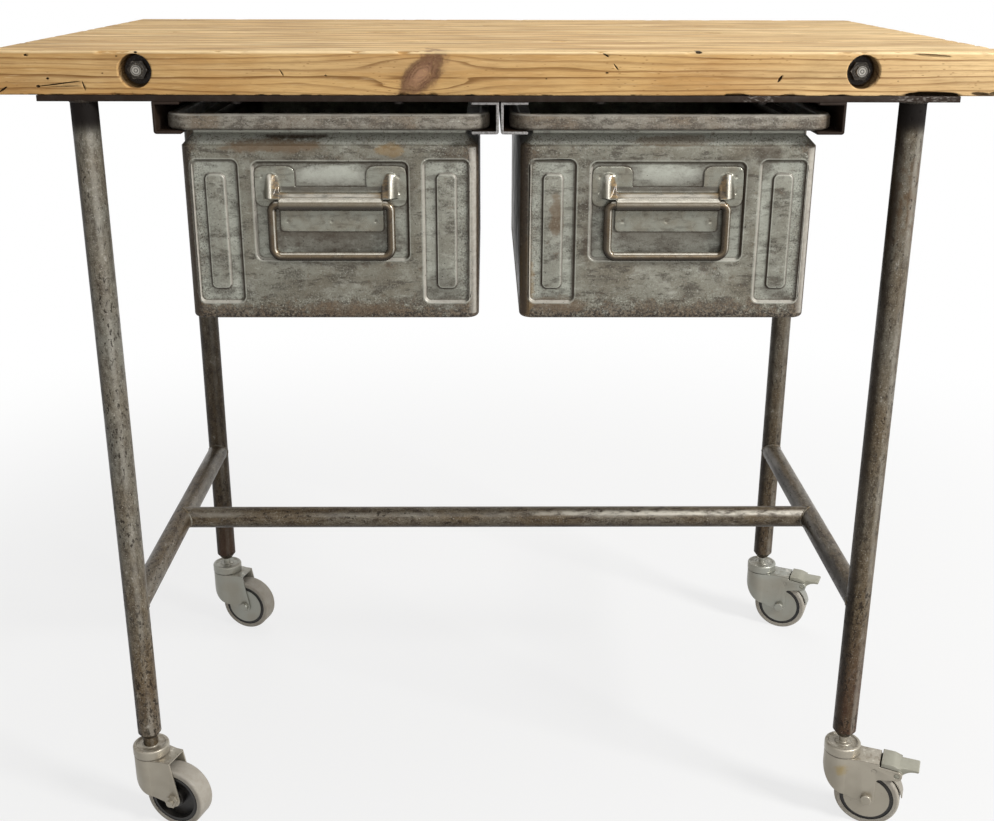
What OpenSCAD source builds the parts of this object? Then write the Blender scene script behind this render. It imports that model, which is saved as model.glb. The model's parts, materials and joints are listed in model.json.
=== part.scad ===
// Wheeled work table: a bolted plank top on a tube frame, with two pressed steel
// crates that hang between channel rails and four swivel casters, two of them braked.
// Millimetres. +Z is up, the front faces -Y, and the floor is z = 0.
// The origin is on the floor, in the middle of the table's plan box.

/* [Worktop] */
// Width of the worktop, left to right
top_w = 1000; // [960:10:1300]
// Depth of the worktop, front to back
top_d = 600; // [540:10:800]
// Thickness of the planks
top_t = 42; // [40:1:60]
// Height of the work surface above the floor
bench_h = 894; // [840:2:1000]
// Width of the seams between the planks
plank_gap = 0.1; // [0.05:0.05:0.5]

/* [Tie rods] */
// Diameter of the threaded rods that clamp the planks together
tie_d = 10; // [8:1:12]
// Distance of each rod inwards from the legs' centres, clear of the screws in the side bars
tie_inset = 56; // [40:1:90]
// Height of the rods above the worktop's underside
tie_h = 23; // [20:1:24]
// Diameter of the round pockets that the rod ends sit in
pocket_d = 33; // [30:1:36]
// Depth of those pockets
pocket_l = 22; // [18:1:30]
// How far the rod ends stay inside the worktop's faces
tie_end = 6; // [2:1:9]
// Radial clearance of the rods and screws in their holes
hole_clear = 0.5; // [0.2:0.1:1]
// Width across flats of the rod nuts
tie_nut_af = 17; // [15:1:19]
// Thickness of the rod nuts
tie_nut_t = 8; // [6:1:10]
// Diameter of the washers under the rod nuts
tie_washer_d = 28; // [22:1:29]
// Thickness of those washers
tie_washer_t = 2.5; // [1.5:0.5:4]

/* [Frame] */
// Length of the front and rear bars
frame_w = 906; // [880:2:940]
// Width of the flat bars
bar_w = 40; // [34:1:50]
// Thickness of the flat bars
bar_t = 6; // [4:1:10]
// Leg spacing, left to right, centre to centre
leg_span_x = 822; // [800:2:840]
// Leg spacing, front to back, centre to centre
leg_span_y = 464; // [440:2:480]
// Outside diameter of the legs and stretchers
leg_d = 26.9; // [25:0.1:30]
// Wall of the legs and stretchers
leg_wall = 2.6; // [2:0.1:3.2]
// Height of the stretcher centre lines above the floor
stretcher_h = 284.5; // [220:0.5:400]
// Space that the weld fills where a coped tube meets a leg
weld_gap = 0.1; // [0.05:0.05:0.3]
// Diameter of the wood screws that hold the top to the bars
screw_d = 5; // [4:0.5:6]
// Length of the wood screws' thread and shank
screw_l = 32; // [24:1:38]
// Diameter of the wood screws' heads
screw_head_d = 10; // [9:0.5:12]
// Height of the wood screws' heads
screw_head_t = 3; // [2:0.5:4]

/* [Rails] */
// Height of the channel rails under the frame bars
rail_h = 31.5; // [28:0.5:36]
// Sheet thickness of the rails
rail_t = 2.8; // [2:0.1:3.5]
// Width of the rails' flanges, from the back of the web
rail_lip = 27; // [24:0.5:28]
// Space between the webs of the two middle rails
rail_gap = 1.8; // [1:0.1:6]
// Sideways play of a crate between its two rails, on each side
rail_play = 6; // [4:0.5:8]
// Height of the crate rim above the rail flange that carries it
ride_gap = 0.3; // [0.2:0.1:0.5]

/* [Crates] */
// Width of a crate body
crate_w = 300; // [280:2:310]
// Depth of a crate body
crate_d = 450; // [400:2:460]
// Height of a crate, bottom to rim
crate_h = 212; // [190:1:240]
// Sheet thickness of the crates
sheet = 1.5; // [1.2:0.1:1.8]
// Corner radius of the crate body in plan
crate_r = 14; // [13.9:0.1:20]
// Bending radius along the bottom edge
bottom_r = 4; // [3:0.5:6]
// How far the neck under the rim is drawn in from the body
neck_in = 12; // [10:0.5:12.3]
// Height of the sloping shoulder between body and neck
shoulder_h = 12; // [8:0.5:16]
// Height of the neck, which leaves room for the rail flanges
neck_h = 5; // [4:0.5:8]
// How far the rolled rim stands out from the body
rim_out = 11.5; // [11:0.5:13]
// Height of the rolled rim
rim_h = 16; // [14:0.5:18]
// Rounding of the rolled rim's outer edges
rim_r = 4; // [2:0.5:5]
// Clearance between the rim's inner wall and a crate stacked in it
stack_clear = 0.5; // [0.3:0.1:1]
// Clearance of the steel wire inside the rolled rim
wire_clear = 0.2; // [0.1:0.1:0.5]
// Setback of the crate rims from the front of the frame
crate_back = 3; // [0:1:10]

/* [Pressings] */
// Depth of the pressed panels in the crate front
press_depth = 3; // [2:0.5:4]
// Run of the sloping sides of a pressing
press_slope = 2; // [1:0.5:3]
// Corner radius of the pressings
press_r = 7; // [5:0.5:8]
// Width of the two side panels
side_panel_w = 48; // [40:1:52]
// Height of the two side panels
side_panel_h = 149; // [120:1:155]
// Distance of the side panels' centres from the crate's centre
side_panel_x = 117; // [110:1:118]
// Distance from the crate's shoulder down to the side panels
side_panel_drop = 13; // [8:1:20]
// Width of the raised strip in each side panel
strip_w = 21; // [16:1:26]
// Height of the raised strip
strip_h = 120; // [100:1:124]
// How far the raised strip comes back towards the face
strip_rise = 2; // [1:0.5:2]
// Width of the middle panel that holds the handle
handle_panel_w = 158; // [154:1:160]
// Height of the middle panel
handle_panel_h = 102; // [100:1:110]
// Distance from the crate's shoulder down to the middle panel
handle_panel_drop = 15; // [10:1:18]

/* [Handles] */
// Sheet thickness of the handle plate
plate_t = 1.4; // [1:0.1:2]
// Width of the handle plate
plate_w = 154; // [150:1:155]
// Height of the plate's side lobes
lobe_h = 41; // [38:1:44]
// Width of the notch in the plate's upper edge
notch_w = 72; // [60:1:80]
// Depth of that notch
notch_h = 21; // [16:1:24]
// Corner radius of the plate's lobes
lobe_r = 8; // [4:1:9]
// Distance from the middle panel's upper edge down to the plate
plate_drop = 5; // [3:1:7]
// Diameter of the bail wire
bail_d = 9; // [8:0.5:10]
// Radial clearance of the bail wire in its barrel
bail_clear = 0.3; // [0.3:0.05:0.5]
// Distance from the plate's upper edge down to the barrel's axis
barrel_drop = 38.5; // [37:0.5:40]
// Length of the barrel
barrel_w = 106; // [96:1:107]
// Overall width of the bail
bail_w = 130; // [128:1:134]
// Drop of the bail's grip below the barrel's axis
bail_drop = 53.5; // [48:0.5:54]
// Bend radius of the bail at its pivots, at the wire's centre
bail_bend_r = 6.5; // [5:0.5:7]
// Bend radius of the bail's lower corners, at the wire's centre
bail_corner_r = 9; // [8:0.5:12]
// Radius of the two pressed ears above the bail's pivots
ear_r = 8; // [7:0.5:9]
// Height of those ears
ear_h = 24; // [18:1:28]
// Width of the welded tab below the barrel
tab_w = 106; // [90:1:110]
// Distance from the barrel's axis down to the tab's lower edge
tab_drop = 28.5; // [24:0.5:32]
// Diameter of the spot weld dimples
dimple_d = 5; // [4:0.5:6]
// Depth of the dimples
dimple_h = 0.5; // [0.3:0.1:0.8]

/* [Casters] */
// Wheel diameter
wheel_d = 75; // [70:1:78]
// Width of the tyre
tyre_w = 25; // [22:0.5:25]
// Diameter of the wheel core that the tyre is moulded on
core_d = 62; // [58:1:64]
// Rounding of the tyre's edges
tyre_r = 3; // [1:0.5:4]
// Swivel offset of the wheel behind the stem
trail = 34; // [28:0.5:36]
// Height of the caster head above the floor
caster_h = 100; // [98:1:106]
// Diameter of the caster head
head_d = 42; // [40:1:46]
// Height of the cap over the ball race
cap_h = 11.6; // [10:0.2:14]
// Sheet thickness of the fork
fork_t = 2.3; // [1.8:0.1:2.6]
// Distance from the stem to the end of a plain fork's top plate
fork_end_x = 33; // [28:0.5:38]
// Radius of the fork's curved front edge
fork_curve_r = 39.2; // [36:0.1:42]
// Radius of the fork's boss round the axle
axle_boss_r = 9; // [8:0.5:10]
// Gap between wheel and fork on each side
fork_play = 0.8; // [0.8:0.1:1.6]
// Diameter of the threaded stem
stem_d = 10; // [8:1:12]
// Length of the stem above the head
stem_l = 36; // [28:1:44]
// Exposed length of the stem between the head and the leg's end plug
stem_show = 9; // [6:0.5:14]
// Height of the tapered end of the leg plug
plug_taper = 8; // [6:0.5:12]
// Diameter at the narrow end of the taper
plug_tip_d = 15; // [14:0.5:18]
// Diameter of the collar that fills the gap at the front left leg
collar_d = 17; // [16:0.5:22]
// Diameter of the kingpin under the head
kingpin_d = 12; // [10:0.5:14]
// Diameter of the kingpin's rivet head
rivet_d = 18; // [16:0.5:20]
// Height of that rivet head
rivet_t = 2.5; // [1.5:0.5:3]
// Diameter of the axle bolt
axle_d = 8; // [6:0.5:9]
// Width across flats of the axle nut, and diameter of the bolt's round head
axle_nut_af = 13; // [11:0.5:15]
// Height of the axle nut and of the bolt's head
axle_nut_t = 5; // [3:0.5:6]
// Radial clearance of turning shafts in their bores
run_clear = 0.05; // [0.02:0.01:0.1]
// Diameter of the spacer sleeve on the axle
sleeve_d = 12; // [11:0.5:14]
// Diameter of the wheel hub
hub_d = 22; // [19:0.5:26]
// Diameter of the thread guard discs
guard_d = 53; // [40:1:56]
// Ball diameter in the swivel race
ball_d = 4.6; // [4:0.1:5]
// Number of balls in each race
ball_count = 12; // [6:1:16]
// Direction of the front left wheel, degrees from +X towards the front
angle_fl = 20; // [0:1:40]
// Direction of the front right wheel
angle_fr = 22; // [0:1:40]
// Direction of the rear left wheel
angle_rl = 19; // [0:1:40]
// Direction of the rear right wheel
angle_rr = 24; // [0:1:40]

/* [Brakes] */
// Distance from the stem to the end of a braked fork's top plate
brake_plate_x = 45; // [43:0.5:47]
// Distance from the stem to the pedal's pivot
pedal_x = 65; // [64:0.5:68]
// Height of the pedal's pivot above the floor
pedal_z = 76.5; // [75:0.5:77]
// Radius of the pedal hub and of the fork arms round it
pedal_hub_r = 6.2; // [5.5:0.1:6.4]
// Diameter of the pedal's pivot pin
pedal_pin_d = 6; // [5:0.5:7]
// Distance from the stem to the tip of the pedal
pedal_tip_x = 89; // [84:0.5:96]
// Width of the pedal's tip
pedal_tip_w = 23; // [18:0.5:25]
// Thickness of the pedal's tread
pedal_tip_t = 3.5; // [3:0.5:5]
// Height of the pedal's tread below its hood
pedal_step = 2.8; // [1:0.2:4]
// Height of the pedal's hood above the fork
hood_rise = 2.3; // [1:0.1:4]
// Gap between the pedal and the fork's top plate and arms
pedal_gap = 0.8; // [0.5:0.1:1.5]
// Angle by which the pedal is pressed down to lock the wheel
pedal_throw = 15; // [5:1:18]
// Gap between the tyre and the brake spring at rest
spring_gap = 2; // [1.5:0.1:2.4]
// Thickness of the brake spring
spring_t = 1.2; // [0.8:0.1:1.5]
// Width of the brake spring
spring_w = 18; // [12:0.5:22]
// Diameter of the pin that holds the brake spring
spring_pin_d = 5; // [4:0.5:5.5]

/* [Hidden] */
$fn = 48;

// Colours
wood_c = [0.80, 0.63, 0.42];
steel_c = [0.45, 0.43, 0.40];
black_c = [0.10, 0.10, 0.10];
crate_c = [0.50, 0.52, 0.50];
handle_c = [0.55, 0.50, 0.44];
zinc_c = [0.68, 0.67, 0.64];
core_c = [0.06, 0.06, 0.06];
tyre_c = [0.70, 0.69, 0.66];
pedal_c = [0.62, 0.62, 0.58];

// Plan of the table. The front wheels and the brake pedal reach furthest forward, the worktop
// furthest back, and the origin lies midway between the two.
leg_r = leg_d / 2;
wheel_r = wheel_d / 2;
wheel_reach = (trail + wheel_r - tyre_r) * sin(max(angle_fl, angle_fr)) + tyre_w / 2;
pedal_reach = pedal_tip_x * sin(angle_fr) + pedal_tip_w / 2 * cos(angle_fr);
y_front = (max(wheel_reach, pedal_reach) - leg_r - top_d) / 2;
frame_d = leg_span_y + leg_d;
leg_x = leg_span_x / 2;
leg_front_y = y_front + leg_r;
leg_rear_y = leg_front_y + leg_span_y;
leg_mid_y = (leg_front_y + leg_rear_y) / 2;

// Heights of the table
wood_z = bench_h - top_t;
bar_z = wood_z - bar_t;
plug_z = caster_h + stem_show;
leg_end_z = plug_z + plug_taper;

// Worktop
plank_n = 4;
plank_d = (top_d - (plank_n - 1) * plank_gap) / plank_n;
tie_x = leg_x - tie_inset;
tie_z = wood_z + tie_h;

// Screws through the bars into the wood, measured along each bar from its middle
screw_near = 100;
screw_far = 260;
screw_side = 120;
screw_xs = [-screw_far, -screw_near, screw_near, screw_far];

// Rails and crates
rail_z = bar_z - rail_h;
rail_web_in = rail_gap / 2 + rail_t;
rim_half = crate_w / 2 + rim_out;
crate_x = rail_web_in + rail_play + rim_half;
rail_web_out = crate_x + rim_half + rail_play;
rim_z = rail_z + rail_t + ride_gap;
crate_z = rim_z + rim_h - crate_h;
shoulder_top = rim_z - neck_h;
shoulder_bottom = shoulder_top - shoulder_h;
crate_front = y_front + crate_back + rim_out;
crate_y = crate_front + crate_d / 2;

// Handle: the barrel's back wall lies in the plate, which is welded to the panel's floor
panel_top = shoulder_bottom - handle_panel_drop;
panel_y = crate_front + press_depth;
plate_top = panel_top - plate_drop;
plate_y = panel_y - plate_t;
bail_r = bail_d / 2;
bail_x = bail_w / 2 - bail_r;
barrel_ri = bail_r + bail_clear;
barrel_ro = barrel_ri + plate_t;
barrel_y = panel_y - barrel_ro;
barrel_z = plate_top - barrel_drop;
cove_r = 6;
tab_r = 4;
wire_gap = 2;

// Spot welds: three on the tab, two down each side of the plate
weld_pitch = 45;
weld_edge = 8;
weld_high = 10;
weld_low = 26;

// Casters. Each is drawn with its trail along +X and is then turned about its stem.
cap_z = caster_h - cap_h;
cap_gap = 0.4;
cap_edge_r = 2.5;
recess_wall = 4.5;
recess_h = 1;
fork_z = cap_z - cap_gap;
plate_z = fork_z - fork_t;
cheek_in = tyre_w / 2 + fork_play;
cheek_out = cheek_in + fork_t;
nose_r = head_d / 2 - 0.5;
draw_in_x = 24;
fork_reach = pedal_x + head_d;
race_r = head_d / 2 - 6;
ball_gap = 0.1;
axle_tail = 3;
core_half = tyre_w / 2 - 0.5;
core_web = 6;
core_rim = 4.5;
plug_l = 30;

// Brakes
arm_z = plate_z - 1.2;
arm_fillet = 4;
arm_drop = pedal_z - 14;
hood_x = brake_plate_x + 1.5;
hood_z = fork_z + hood_rise;
hood_under = arm_z + pedal_gap;
tread_z = hood_z - pedal_step;
tread_under = tread_z - pedal_tip_t;
pedal_web = cheek_in - 0.7;
pedal_curve_r = 18;
spring_ri = wheel_r + spring_gap;
spring_pin_angle = 82;
spring_end_angle = 10;
cam_r = 2.5;
cam_clear = 0.4;
casters = [
    ["fl", -leg_x, leg_front_y, angle_fl, false],
    ["fr", leg_x, leg_front_y, angle_fr, true],
    ["rl", -leg_x, leg_rear_y, angle_rl, false],
    ["rr", leg_x, leg_rear_y, angle_rr, true]
];

// Rounded rectangle centred on the origin, exact arcs
module rounded_rect(w, h, r) {
    square([w - 2 * r, h], center = true);
    square([w, h - 2 * r], center = true);
    for (sx = [-1, 1], sy = [-1, 1])
        translate([sx * (w / 2 - r), sy * (h / 2 - r)])
            circle(r);
}

// Points along an arc, from angle a0 to angle a1
function arc(x, z, r, a0, a1, n = 16) =
    [for (i = [0:n]) let(a = a0 + (a1 - a0) * i / n) [x + r * cos(a), z + r * sin(a)]];

// Upright plate that faces -Y: x across, z up, its front face at y = 0
module facing(depth) {
    translate([0, depth, 0])
        rotate([90, 0, 0])
            linear_extrude(depth)
                children();
}

// Prism across a caster: the outline is drawn in trail distance and height
module across(half_w) {
    translate([0, half_w, 0])
        rotate([90, 0, 0])
            linear_extrude(2 * half_w)
                children();
}

// Cylinder along Y, centred on the caster's middle plane
module cross_cyl(x, z, r, half_w) {
    translate([x, half_w, z])
        rotate([90, 0, 0])
            cylinder(h = 2 * half_w, r = r);
}

module at_caster(c) {
    translate([c[1], c[2], 0])
        rotate([0, 0, -c[3]])
            children();
}

// One plank of the top, with the holes for the tie rods and the pockets at the outer faces
module plank(i) {
    y0 = y_front + i * (plank_d + plank_gap);
    color(wood_c)
        difference() {
            translate([-top_w / 2, y0, wood_z])
                cube([top_w, plank_d, top_t]);
            for (sx = [-1, 1]) {
                translate([sx * tie_x, y0 - 1, tie_z])
                    rotate([-90, 0, 0])
                        cylinder(h = plank_d + 2, d = tie_d + 2 * hole_clear);
                if (i == 0)
                    translate([sx * tie_x, y0 - 1, tie_z])
                        rotate([-90, 0, 0])
                            cylinder(h = pocket_l + 1, d = pocket_d);
                if (i == plank_n - 1)
                    translate([sx * tie_x, y0 + plank_d - pocket_l, tie_z])
                        rotate([-90, 0, 0])
                            cylinder(h = pocket_l + 1, d = pocket_d);
            }
            screw_places()
                cylinder(h = screw_l + bar_t + 1, d = screw_d + 2 * hole_clear);
        }
}

// The tie rod's two ends: children are drawn with +Z pointing out of the worktop's face
module tie_ends() {
    for (sx = [-1, 1]) {
        translate([sx * tie_x, y_front + pocket_l, tie_z])
            rotate([90, 0, 0])
                children();
        translate([sx * tie_x, y_front + top_d - pocket_l, tie_z])
            rotate([-90, 0, 0])
                children();
    }
}

module tie_rods() {
    color(zinc_c)
        for (sx = [-1, 1])
            translate([sx * tie_x, y_front + tie_end, tie_z])
                rotate([-90, 0, 0])
                    cylinder(h = top_d - 2 * tie_end, d = tie_d);
}

module tie_washers() {
    color(zinc_c)
        tie_ends()
            difference() {
                cylinder(h = tie_washer_t, d = tie_washer_d);
                translate([0, 0, -1])
                    cylinder(h = tie_washer_t + 2, d = tie_d + 2 * run_clear);
            }
}

module tie_nuts() {
    color(zinc_c)
        tie_ends()
            translate([0, 0, tie_washer_t])
                difference() {
                    cylinder(h = tie_nut_t, d = tie_nut_af / cos(30), $fn = 6);
                    translate([0, 0, -1])
                        cylinder(h = tie_nut_t + 2, d = tie_d + 2 * run_clear);
                }
}

// Children are drawn at each screw, from the bars' underside upwards
module screw_places() {
    for (x = screw_xs, y = [leg_front_y, leg_rear_y])
        translate([x, y, bar_z])
            children();
    for (sx = [-1, 1], dy = [-screw_side, screw_side])
        translate([sx * leg_x, leg_mid_y + dy, bar_z])
            children();
}

module top_screws() {
    color(zinc_c)
        screw_places() {
            translate([0, 0, -screw_head_t])
                cylinder(h = screw_head_t, d = screw_head_d);
            cylinder(h = screw_l, d = screw_d);
        }
}

module frame_bar(x0, y0, w, d) {
    color(black_c)
        difference() {
            translate([x0, y0, bar_z])
                cube([w, d, bar_t]);
            screw_places()
                translate([0, 0, -1])
                    cylinder(h = bar_t + 2, d = screw_d + 2 * hole_clear);
        }
}

module frame_bar_side(sx) {
    frame_bar(sx * leg_x - bar_w / 2, y_front + bar_w, bar_w, frame_d - 2 * bar_w);
}

// Channel rail with its web's back at x and its flanges towards dir
module rail(x, dir) {
    color(black_c)
        translate([x, y_front + frame_d, bar_z])
            rotate([90, 0, 0])
                linear_extrude(frame_d)
                    scale_x(dir)
                        difference() {
                            union() {
                                translate([rail_t, -rail_h])
                                    square([rail_lip - rail_t, rail_h]);
                                translate([0, -rail_h + rail_t])
                                    square([rail_lip, rail_h - rail_t]);
                                translate([rail_t, -rail_h + rail_t])
                                    circle(rail_t);
                            }
                            translate([rail_t, -rail_h + rail_t])
                                square([rail_lip, rail_h - 2 * rail_t]);
                        }
}

module scale_x(dir) {
    if (dir < 0)
        mirror([1, 0])
            children();
    else
        children();
}

module tube(h) {
    difference() {
        cylinder(h = h, d = leg_d);
        translate([0, 0, -1])
            cylinder(h = h + 2, d = leg_d - 2 * leg_wall);
    }
}

module leg(x, y) {
    color(steel_c)
        translate([x, y, leg_end_z])
            tube(bar_z - leg_end_z);
}

// Side stretcher, coped over the two legs
module stretcher_side(sx) {
    color(steel_c)
        difference() {
            translate([sx * leg_x, leg_front_y, stretcher_h])
                rotate([-90, 0, 0])
                    tube(leg_span_y);
            for (y = [leg_front_y, leg_rear_y])
                translate([sx * leg_x, y, stretcher_h - leg_d])
                    cylinder(h = 2 * leg_d, r = leg_r + weld_gap);
        }
}

// Long stretcher, coped over the two side stretchers
module stretcher_long() {
    color(steel_c)
        difference() {
            translate([-leg_x, leg_mid_y, stretcher_h])
                rotate([0, 90, 0])
                    tube(leg_span_x);
            for (sx = [-1, 1])
                translate([sx * leg_x, leg_mid_y - leg_d, stretcher_h])
                    rotate([-90, 0, 0])
                        cylinder(h = 2 * leg_d, r = leg_r + weld_gap);
        }
}

// Threaded plugs in the leg ends; the front left one has a longer collar
module leg_plugs() {
    color(steel_c)
        for (c = casters)
            translate([c[1], c[2], 0])
                difference() {
                    union() {
                        translate([0, 0, leg_end_z])
                            cylinder(h = plug_l, r = leg_r - leg_wall - run_clear);
                        translate([0, 0, plug_z])
                            cylinder(h = plug_taper, d1 = plug_tip_d, d2 = leg_d);
                        if (c[0] == "fl")
                            translate([0, 0, caster_h])
                                cylinder(h = stem_show + plug_taper / 4, d = collar_d);
                    }
                    translate([0, 0, caster_h - 1])
                        cylinder(h = plug_l + stem_show + plug_taper + 2, d = stem_d + 2 * run_clear);
                }
}

// Sweeps a profile round the crate. The profile's x is the distance out from the corner centres.
module round_crate() {
    hx = crate_w / 2 - crate_r;
    hy = crate_d / 2 - crate_r;
    for (i = [0:3]) {
        a = (i % 2 == 0) ? hx : hy;
        b = (i % 2 == 0) ? hy : hx;
        rotate([0, 0, 90 * i]) {
            translate([a, b, 0])
                rotate_extrude(angle = 90)
                    children();
            translate([a, b, 0])
                rotate([90, 0, 0])
                    linear_extrude(2 * b)
                        children();
        }
    }
}

// Wall of a crate in section: bottom bend, side, shoulder, neck, stacking ledge and rolled rim
module crate_section() {
    r = crate_r;
    neck = r - neck_in;
    upstand = r + stack_clear;
    roll_w = rim_out - stack_clear;
    bend = sheet * tan(atan2(neck_in, shoulder_h) / 2);
    polygon(concat(
        [[0, crate_z]],
        arc(r - bottom_r, crate_z + bottom_r, bottom_r, -90, 0, 8),
        [[r, shoulder_bottom], [neck, shoulder_top], [neck, rim_z], [upstand + rim_r, rim_z],
            [upstand + rim_r, rim_z + sheet], [neck - sheet, rim_z + sheet],
            [neck - sheet, shoulder_top - bend], [r - sheet, shoulder_bottom - bend]],
        arc(r - bottom_r, crate_z + bottom_r, bottom_r - sheet, 0, -90, 8),
        [[0, crate_z + sheet]]));
    translate([upstand + roll_w / 2, rim_z + rim_h / 2])
        difference() {
            rounded_rect(roll_w, rim_h, rim_r);
            rounded_rect(roll_w - 2 * sheet, rim_h - 2 * sheet, max(rim_r - sheet, 0.5));
        }
}

// Pocket of a pressing, wide at the face and narrower at its floor
module press_pocket(w, h, from, to) {
    flat = 0.02;
    hull() {
        translate([0, from - flat, 0])
            facing(flat)
                rounded_rect(w, h, press_r, $fn = 32);
        translate([0, to, 0])
            facing(flat)
                rounded_rect(w - 2 * press_slope, h - 2 * press_slope, press_r - press_slope, $fn = 32);
    }
}

module crate_shell(cx) {
    side_z = shoulder_bottom - side_panel_drop - side_panel_h / 2;
    handle_z = panel_top - handle_panel_h / 2;
    back = press_depth + sheet;
    color(crate_c)
        difference() {
            union() {
                translate([cx, crate_y, 0])
                    round_crate()
                        crate_section();
                translate([cx - crate_w / 2 + crate_r, crate_front + crate_r, crate_z])
                    cube([crate_w - 2 * crate_r, crate_d - 2 * crate_r, sheet]);
                for (sx = [-1, 1])
                    translate([cx + sx * side_panel_x, crate_front + sheet / 2, side_z])
                        facing(back - sheet / 2)
                            rounded_rect(side_panel_w, side_panel_h, press_r);
                translate([cx, crate_front + sheet / 2, handle_z])
                    facing(back - sheet / 2)
                        rounded_rect(handle_panel_w, handle_panel_h, press_r);
            }
            for (sx = [-1, 1])
                difference() {
                    translate([cx + sx * side_panel_x, crate_front, side_z])
                        press_pocket(side_panel_w, side_panel_h, 0, press_depth);
                    translate([cx + sx * side_panel_x, crate_front, side_z])
                        press_strip();
                }
            translate([cx, crate_front, handle_z])
                press_pocket(handle_panel_w, handle_panel_h, 0, press_depth);
        }
}

// Raised strip inside a side panel, wider at the panel's floor
module press_strip() {
    flat = 0.02;
    hull() {
        translate([0, press_depth, 0])
            facing(1)
                rounded_rect(strip_w, strip_h, press_r - 1, $fn = 32);
        translate([0, press_depth - strip_rise, 0])
            facing(flat)
                rounded_rect(strip_w - press_slope, strip_h - press_slope, press_r - 2, $fn = 32);
    }
}

// Wire inside the rolled rim
module crate_rim_wire(cx) {
    wire_r = min(rim_out - stack_clear, rim_h) / 2 - sheet - wire_clear;
    color(steel_c)
        translate([cx, crate_y, 0])
            round_crate()
                translate([crate_r + (rim_out + stack_clear) / 2, rim_z + rim_h / 2])
                    circle(wire_r);
}

// Handle plate: two welded lobes, a barrel rolled round the bail wire, ears and a welded tab
module crate_handle_plate(cx) {
    lobe_w = (plate_w - notch_w) / 2;
    color(handle_c)
        translate([cx, 0, 0])
            difference() {
                union() {
                    for (sx = [-1, 1])
                        translate([sx * (notch_w + lobe_w) / 2, plate_y, plate_top - lobe_h / 2])
                            facing(plate_t)
                                rounded_rect(lobe_w, lobe_h, lobe_r);
                    translate([-notch_w / 2 - lobe_r, plate_y, barrel_z])
                        cube([notch_w + 2 * lobe_r, plate_t, plate_top - notch_h - barrel_z]);
                    translate([barrel_w / 2, barrel_y, barrel_z])
                        rotate([0, -90, 0])
                            cylinder(h = barrel_w, r = barrel_ro);
                    handle_cove();
                    translate([0, plate_y, barrel_z - tab_drop / 2])
                        facing(plate_t)
                            rounded_rect(tab_w, tab_drop, tab_r);
                    for (sx = [-1, 1])
                        handle_ear(sx * bail_x);
                }
                translate([bail_w, barrel_y, barrel_z])
                    rotate([0, -90, 0])
                        cylinder(h = 2 * bail_w, r = barrel_ri);
                for (i = [-1:1])
                    spot_weld(i * weld_pitch, barrel_z - (tab_drop + barrel_ro) / 2);
                for (sx = [-1, 1], drop = [weld_high, weld_low])
                    spot_weld(sx * (plate_w / 2 - weld_edge), plate_top - drop);
            }
}

module spot_weld(x, z) {
    translate([x, plate_y - 1, z])
        rotate([-90, 0, 0])
            cylinder(h = 1 + dimple_h, d = dimple_d);
}

// Curved transition from the plate down onto the barrel
module handle_cove() {
    translate([-barrel_w / 2, 0, 0])
        rotate([90, 0, 90])
            linear_extrude(barrel_w)
                difference() {
                    translate([barrel_y, barrel_z])
                        square([barrel_ro, barrel_ro + cove_r]);
                    translate([plate_y - cove_r, barrel_z + barrel_ro + cove_r])
                        circle(cove_r);
                    translate([barrel_y - cove_r, barrel_z + barrel_ro])
                        square([plate_y - barrel_y, cove_r + 1]);
                }
}

// Pressed ear above a bail pivot, with a rounded top
module handle_ear(x) {
    translate([x, plate_y, barrel_z + barrel_ro])
        intersection() {
            union() {
                cylinder(h = ear_h - ear_r, r = ear_r);
                translate([0, 0, ear_h - ear_r])
                    sphere(ear_r);
            }
            translate([-ear_r, -ear_r, 0])
                cube([2 * ear_r, ear_r + plate_t, ear_h]);
        }
}

// Bail: one bent wire whose ends meet inside the barrel
module crate_bail(cx) {
    axis_half = bail_x - bail_bend_r;
    limb_top = -bail_bend_r;
    limb_bottom = -bail_drop + bail_corner_r;
    color(handle_c)
        translate([cx, barrel_y, barrel_z]) {
            for (m = [0, 1])
                mirror([m, 0, 0]) {
                    translate([wire_gap / 2, 0, 0])
                        rotate([0, 90, 0])
                            cylinder(h = axis_half - wire_gap / 2, r = bail_r);
                    translate([axis_half, 0, -bail_bend_r])
                        rotate([90, 0, 0])
                            rotate_extrude(angle = 90)
                                translate([bail_bend_r, 0])
                                    circle(bail_r);
                    translate([bail_x, 0, limb_bottom])
                        cylinder(h = limb_top - limb_bottom, r = bail_r);
                    translate([bail_x - bail_corner_r, 0, limb_bottom])
                        rotate([90, 90, 0])
                            rotate_extrude(angle = 90)
                                translate([bail_corner_r, 0])
                                    circle(bail_r);
                }
            translate([-(bail_x - bail_corner_r), 0, -bail_drop])
                rotate([0, 90, 0])
                    cylinder(h = 2 * (bail_x - bail_corner_r), r = bail_r);
        }
}

// Stem with its cap over the ball race and its riveted kingpin
module caster_stem(c) {
    head_r = head_d / 2;
    pin_z = plate_z - cap_gap;
    race_w = ball_d + 2 * ball_gap;
    recess_r = plug_tip_d / 2 + 2;
    color(zinc_c)
        at_caster(c) {
            translate([0, 0, caster_h])
                cylinder(h = stem_l, d = stem_d);
            difference() {
                rotate_extrude() {
                    translate([0, cap_z])
                        square([head_r, cap_h - cap_edge_r]);
                    translate([0, cap_z])
                        square([head_r - cap_edge_r, cap_h]);
                    translate([head_r - cap_edge_r, caster_h - cap_edge_r])
                        circle(cap_edge_r);
                }
                rotate_extrude()
                    translate([race_r - race_w / 2, cap_z - cap_gap])
                        square([race_w, race_w]);
                rotate_extrude()
                    translate([recess_r, caster_h - recess_h])
                        square([head_r - recess_wall - recess_r, 2 * recess_h]);
            }
            translate([0, 0, pin_z])
                cylinder(h = cap_z - pin_z, d = kingpin_d);
            translate([0, 0, pin_z - rivet_t])
                cylinder(h = rivet_t, d = rivet_d);
        }
}

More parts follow.
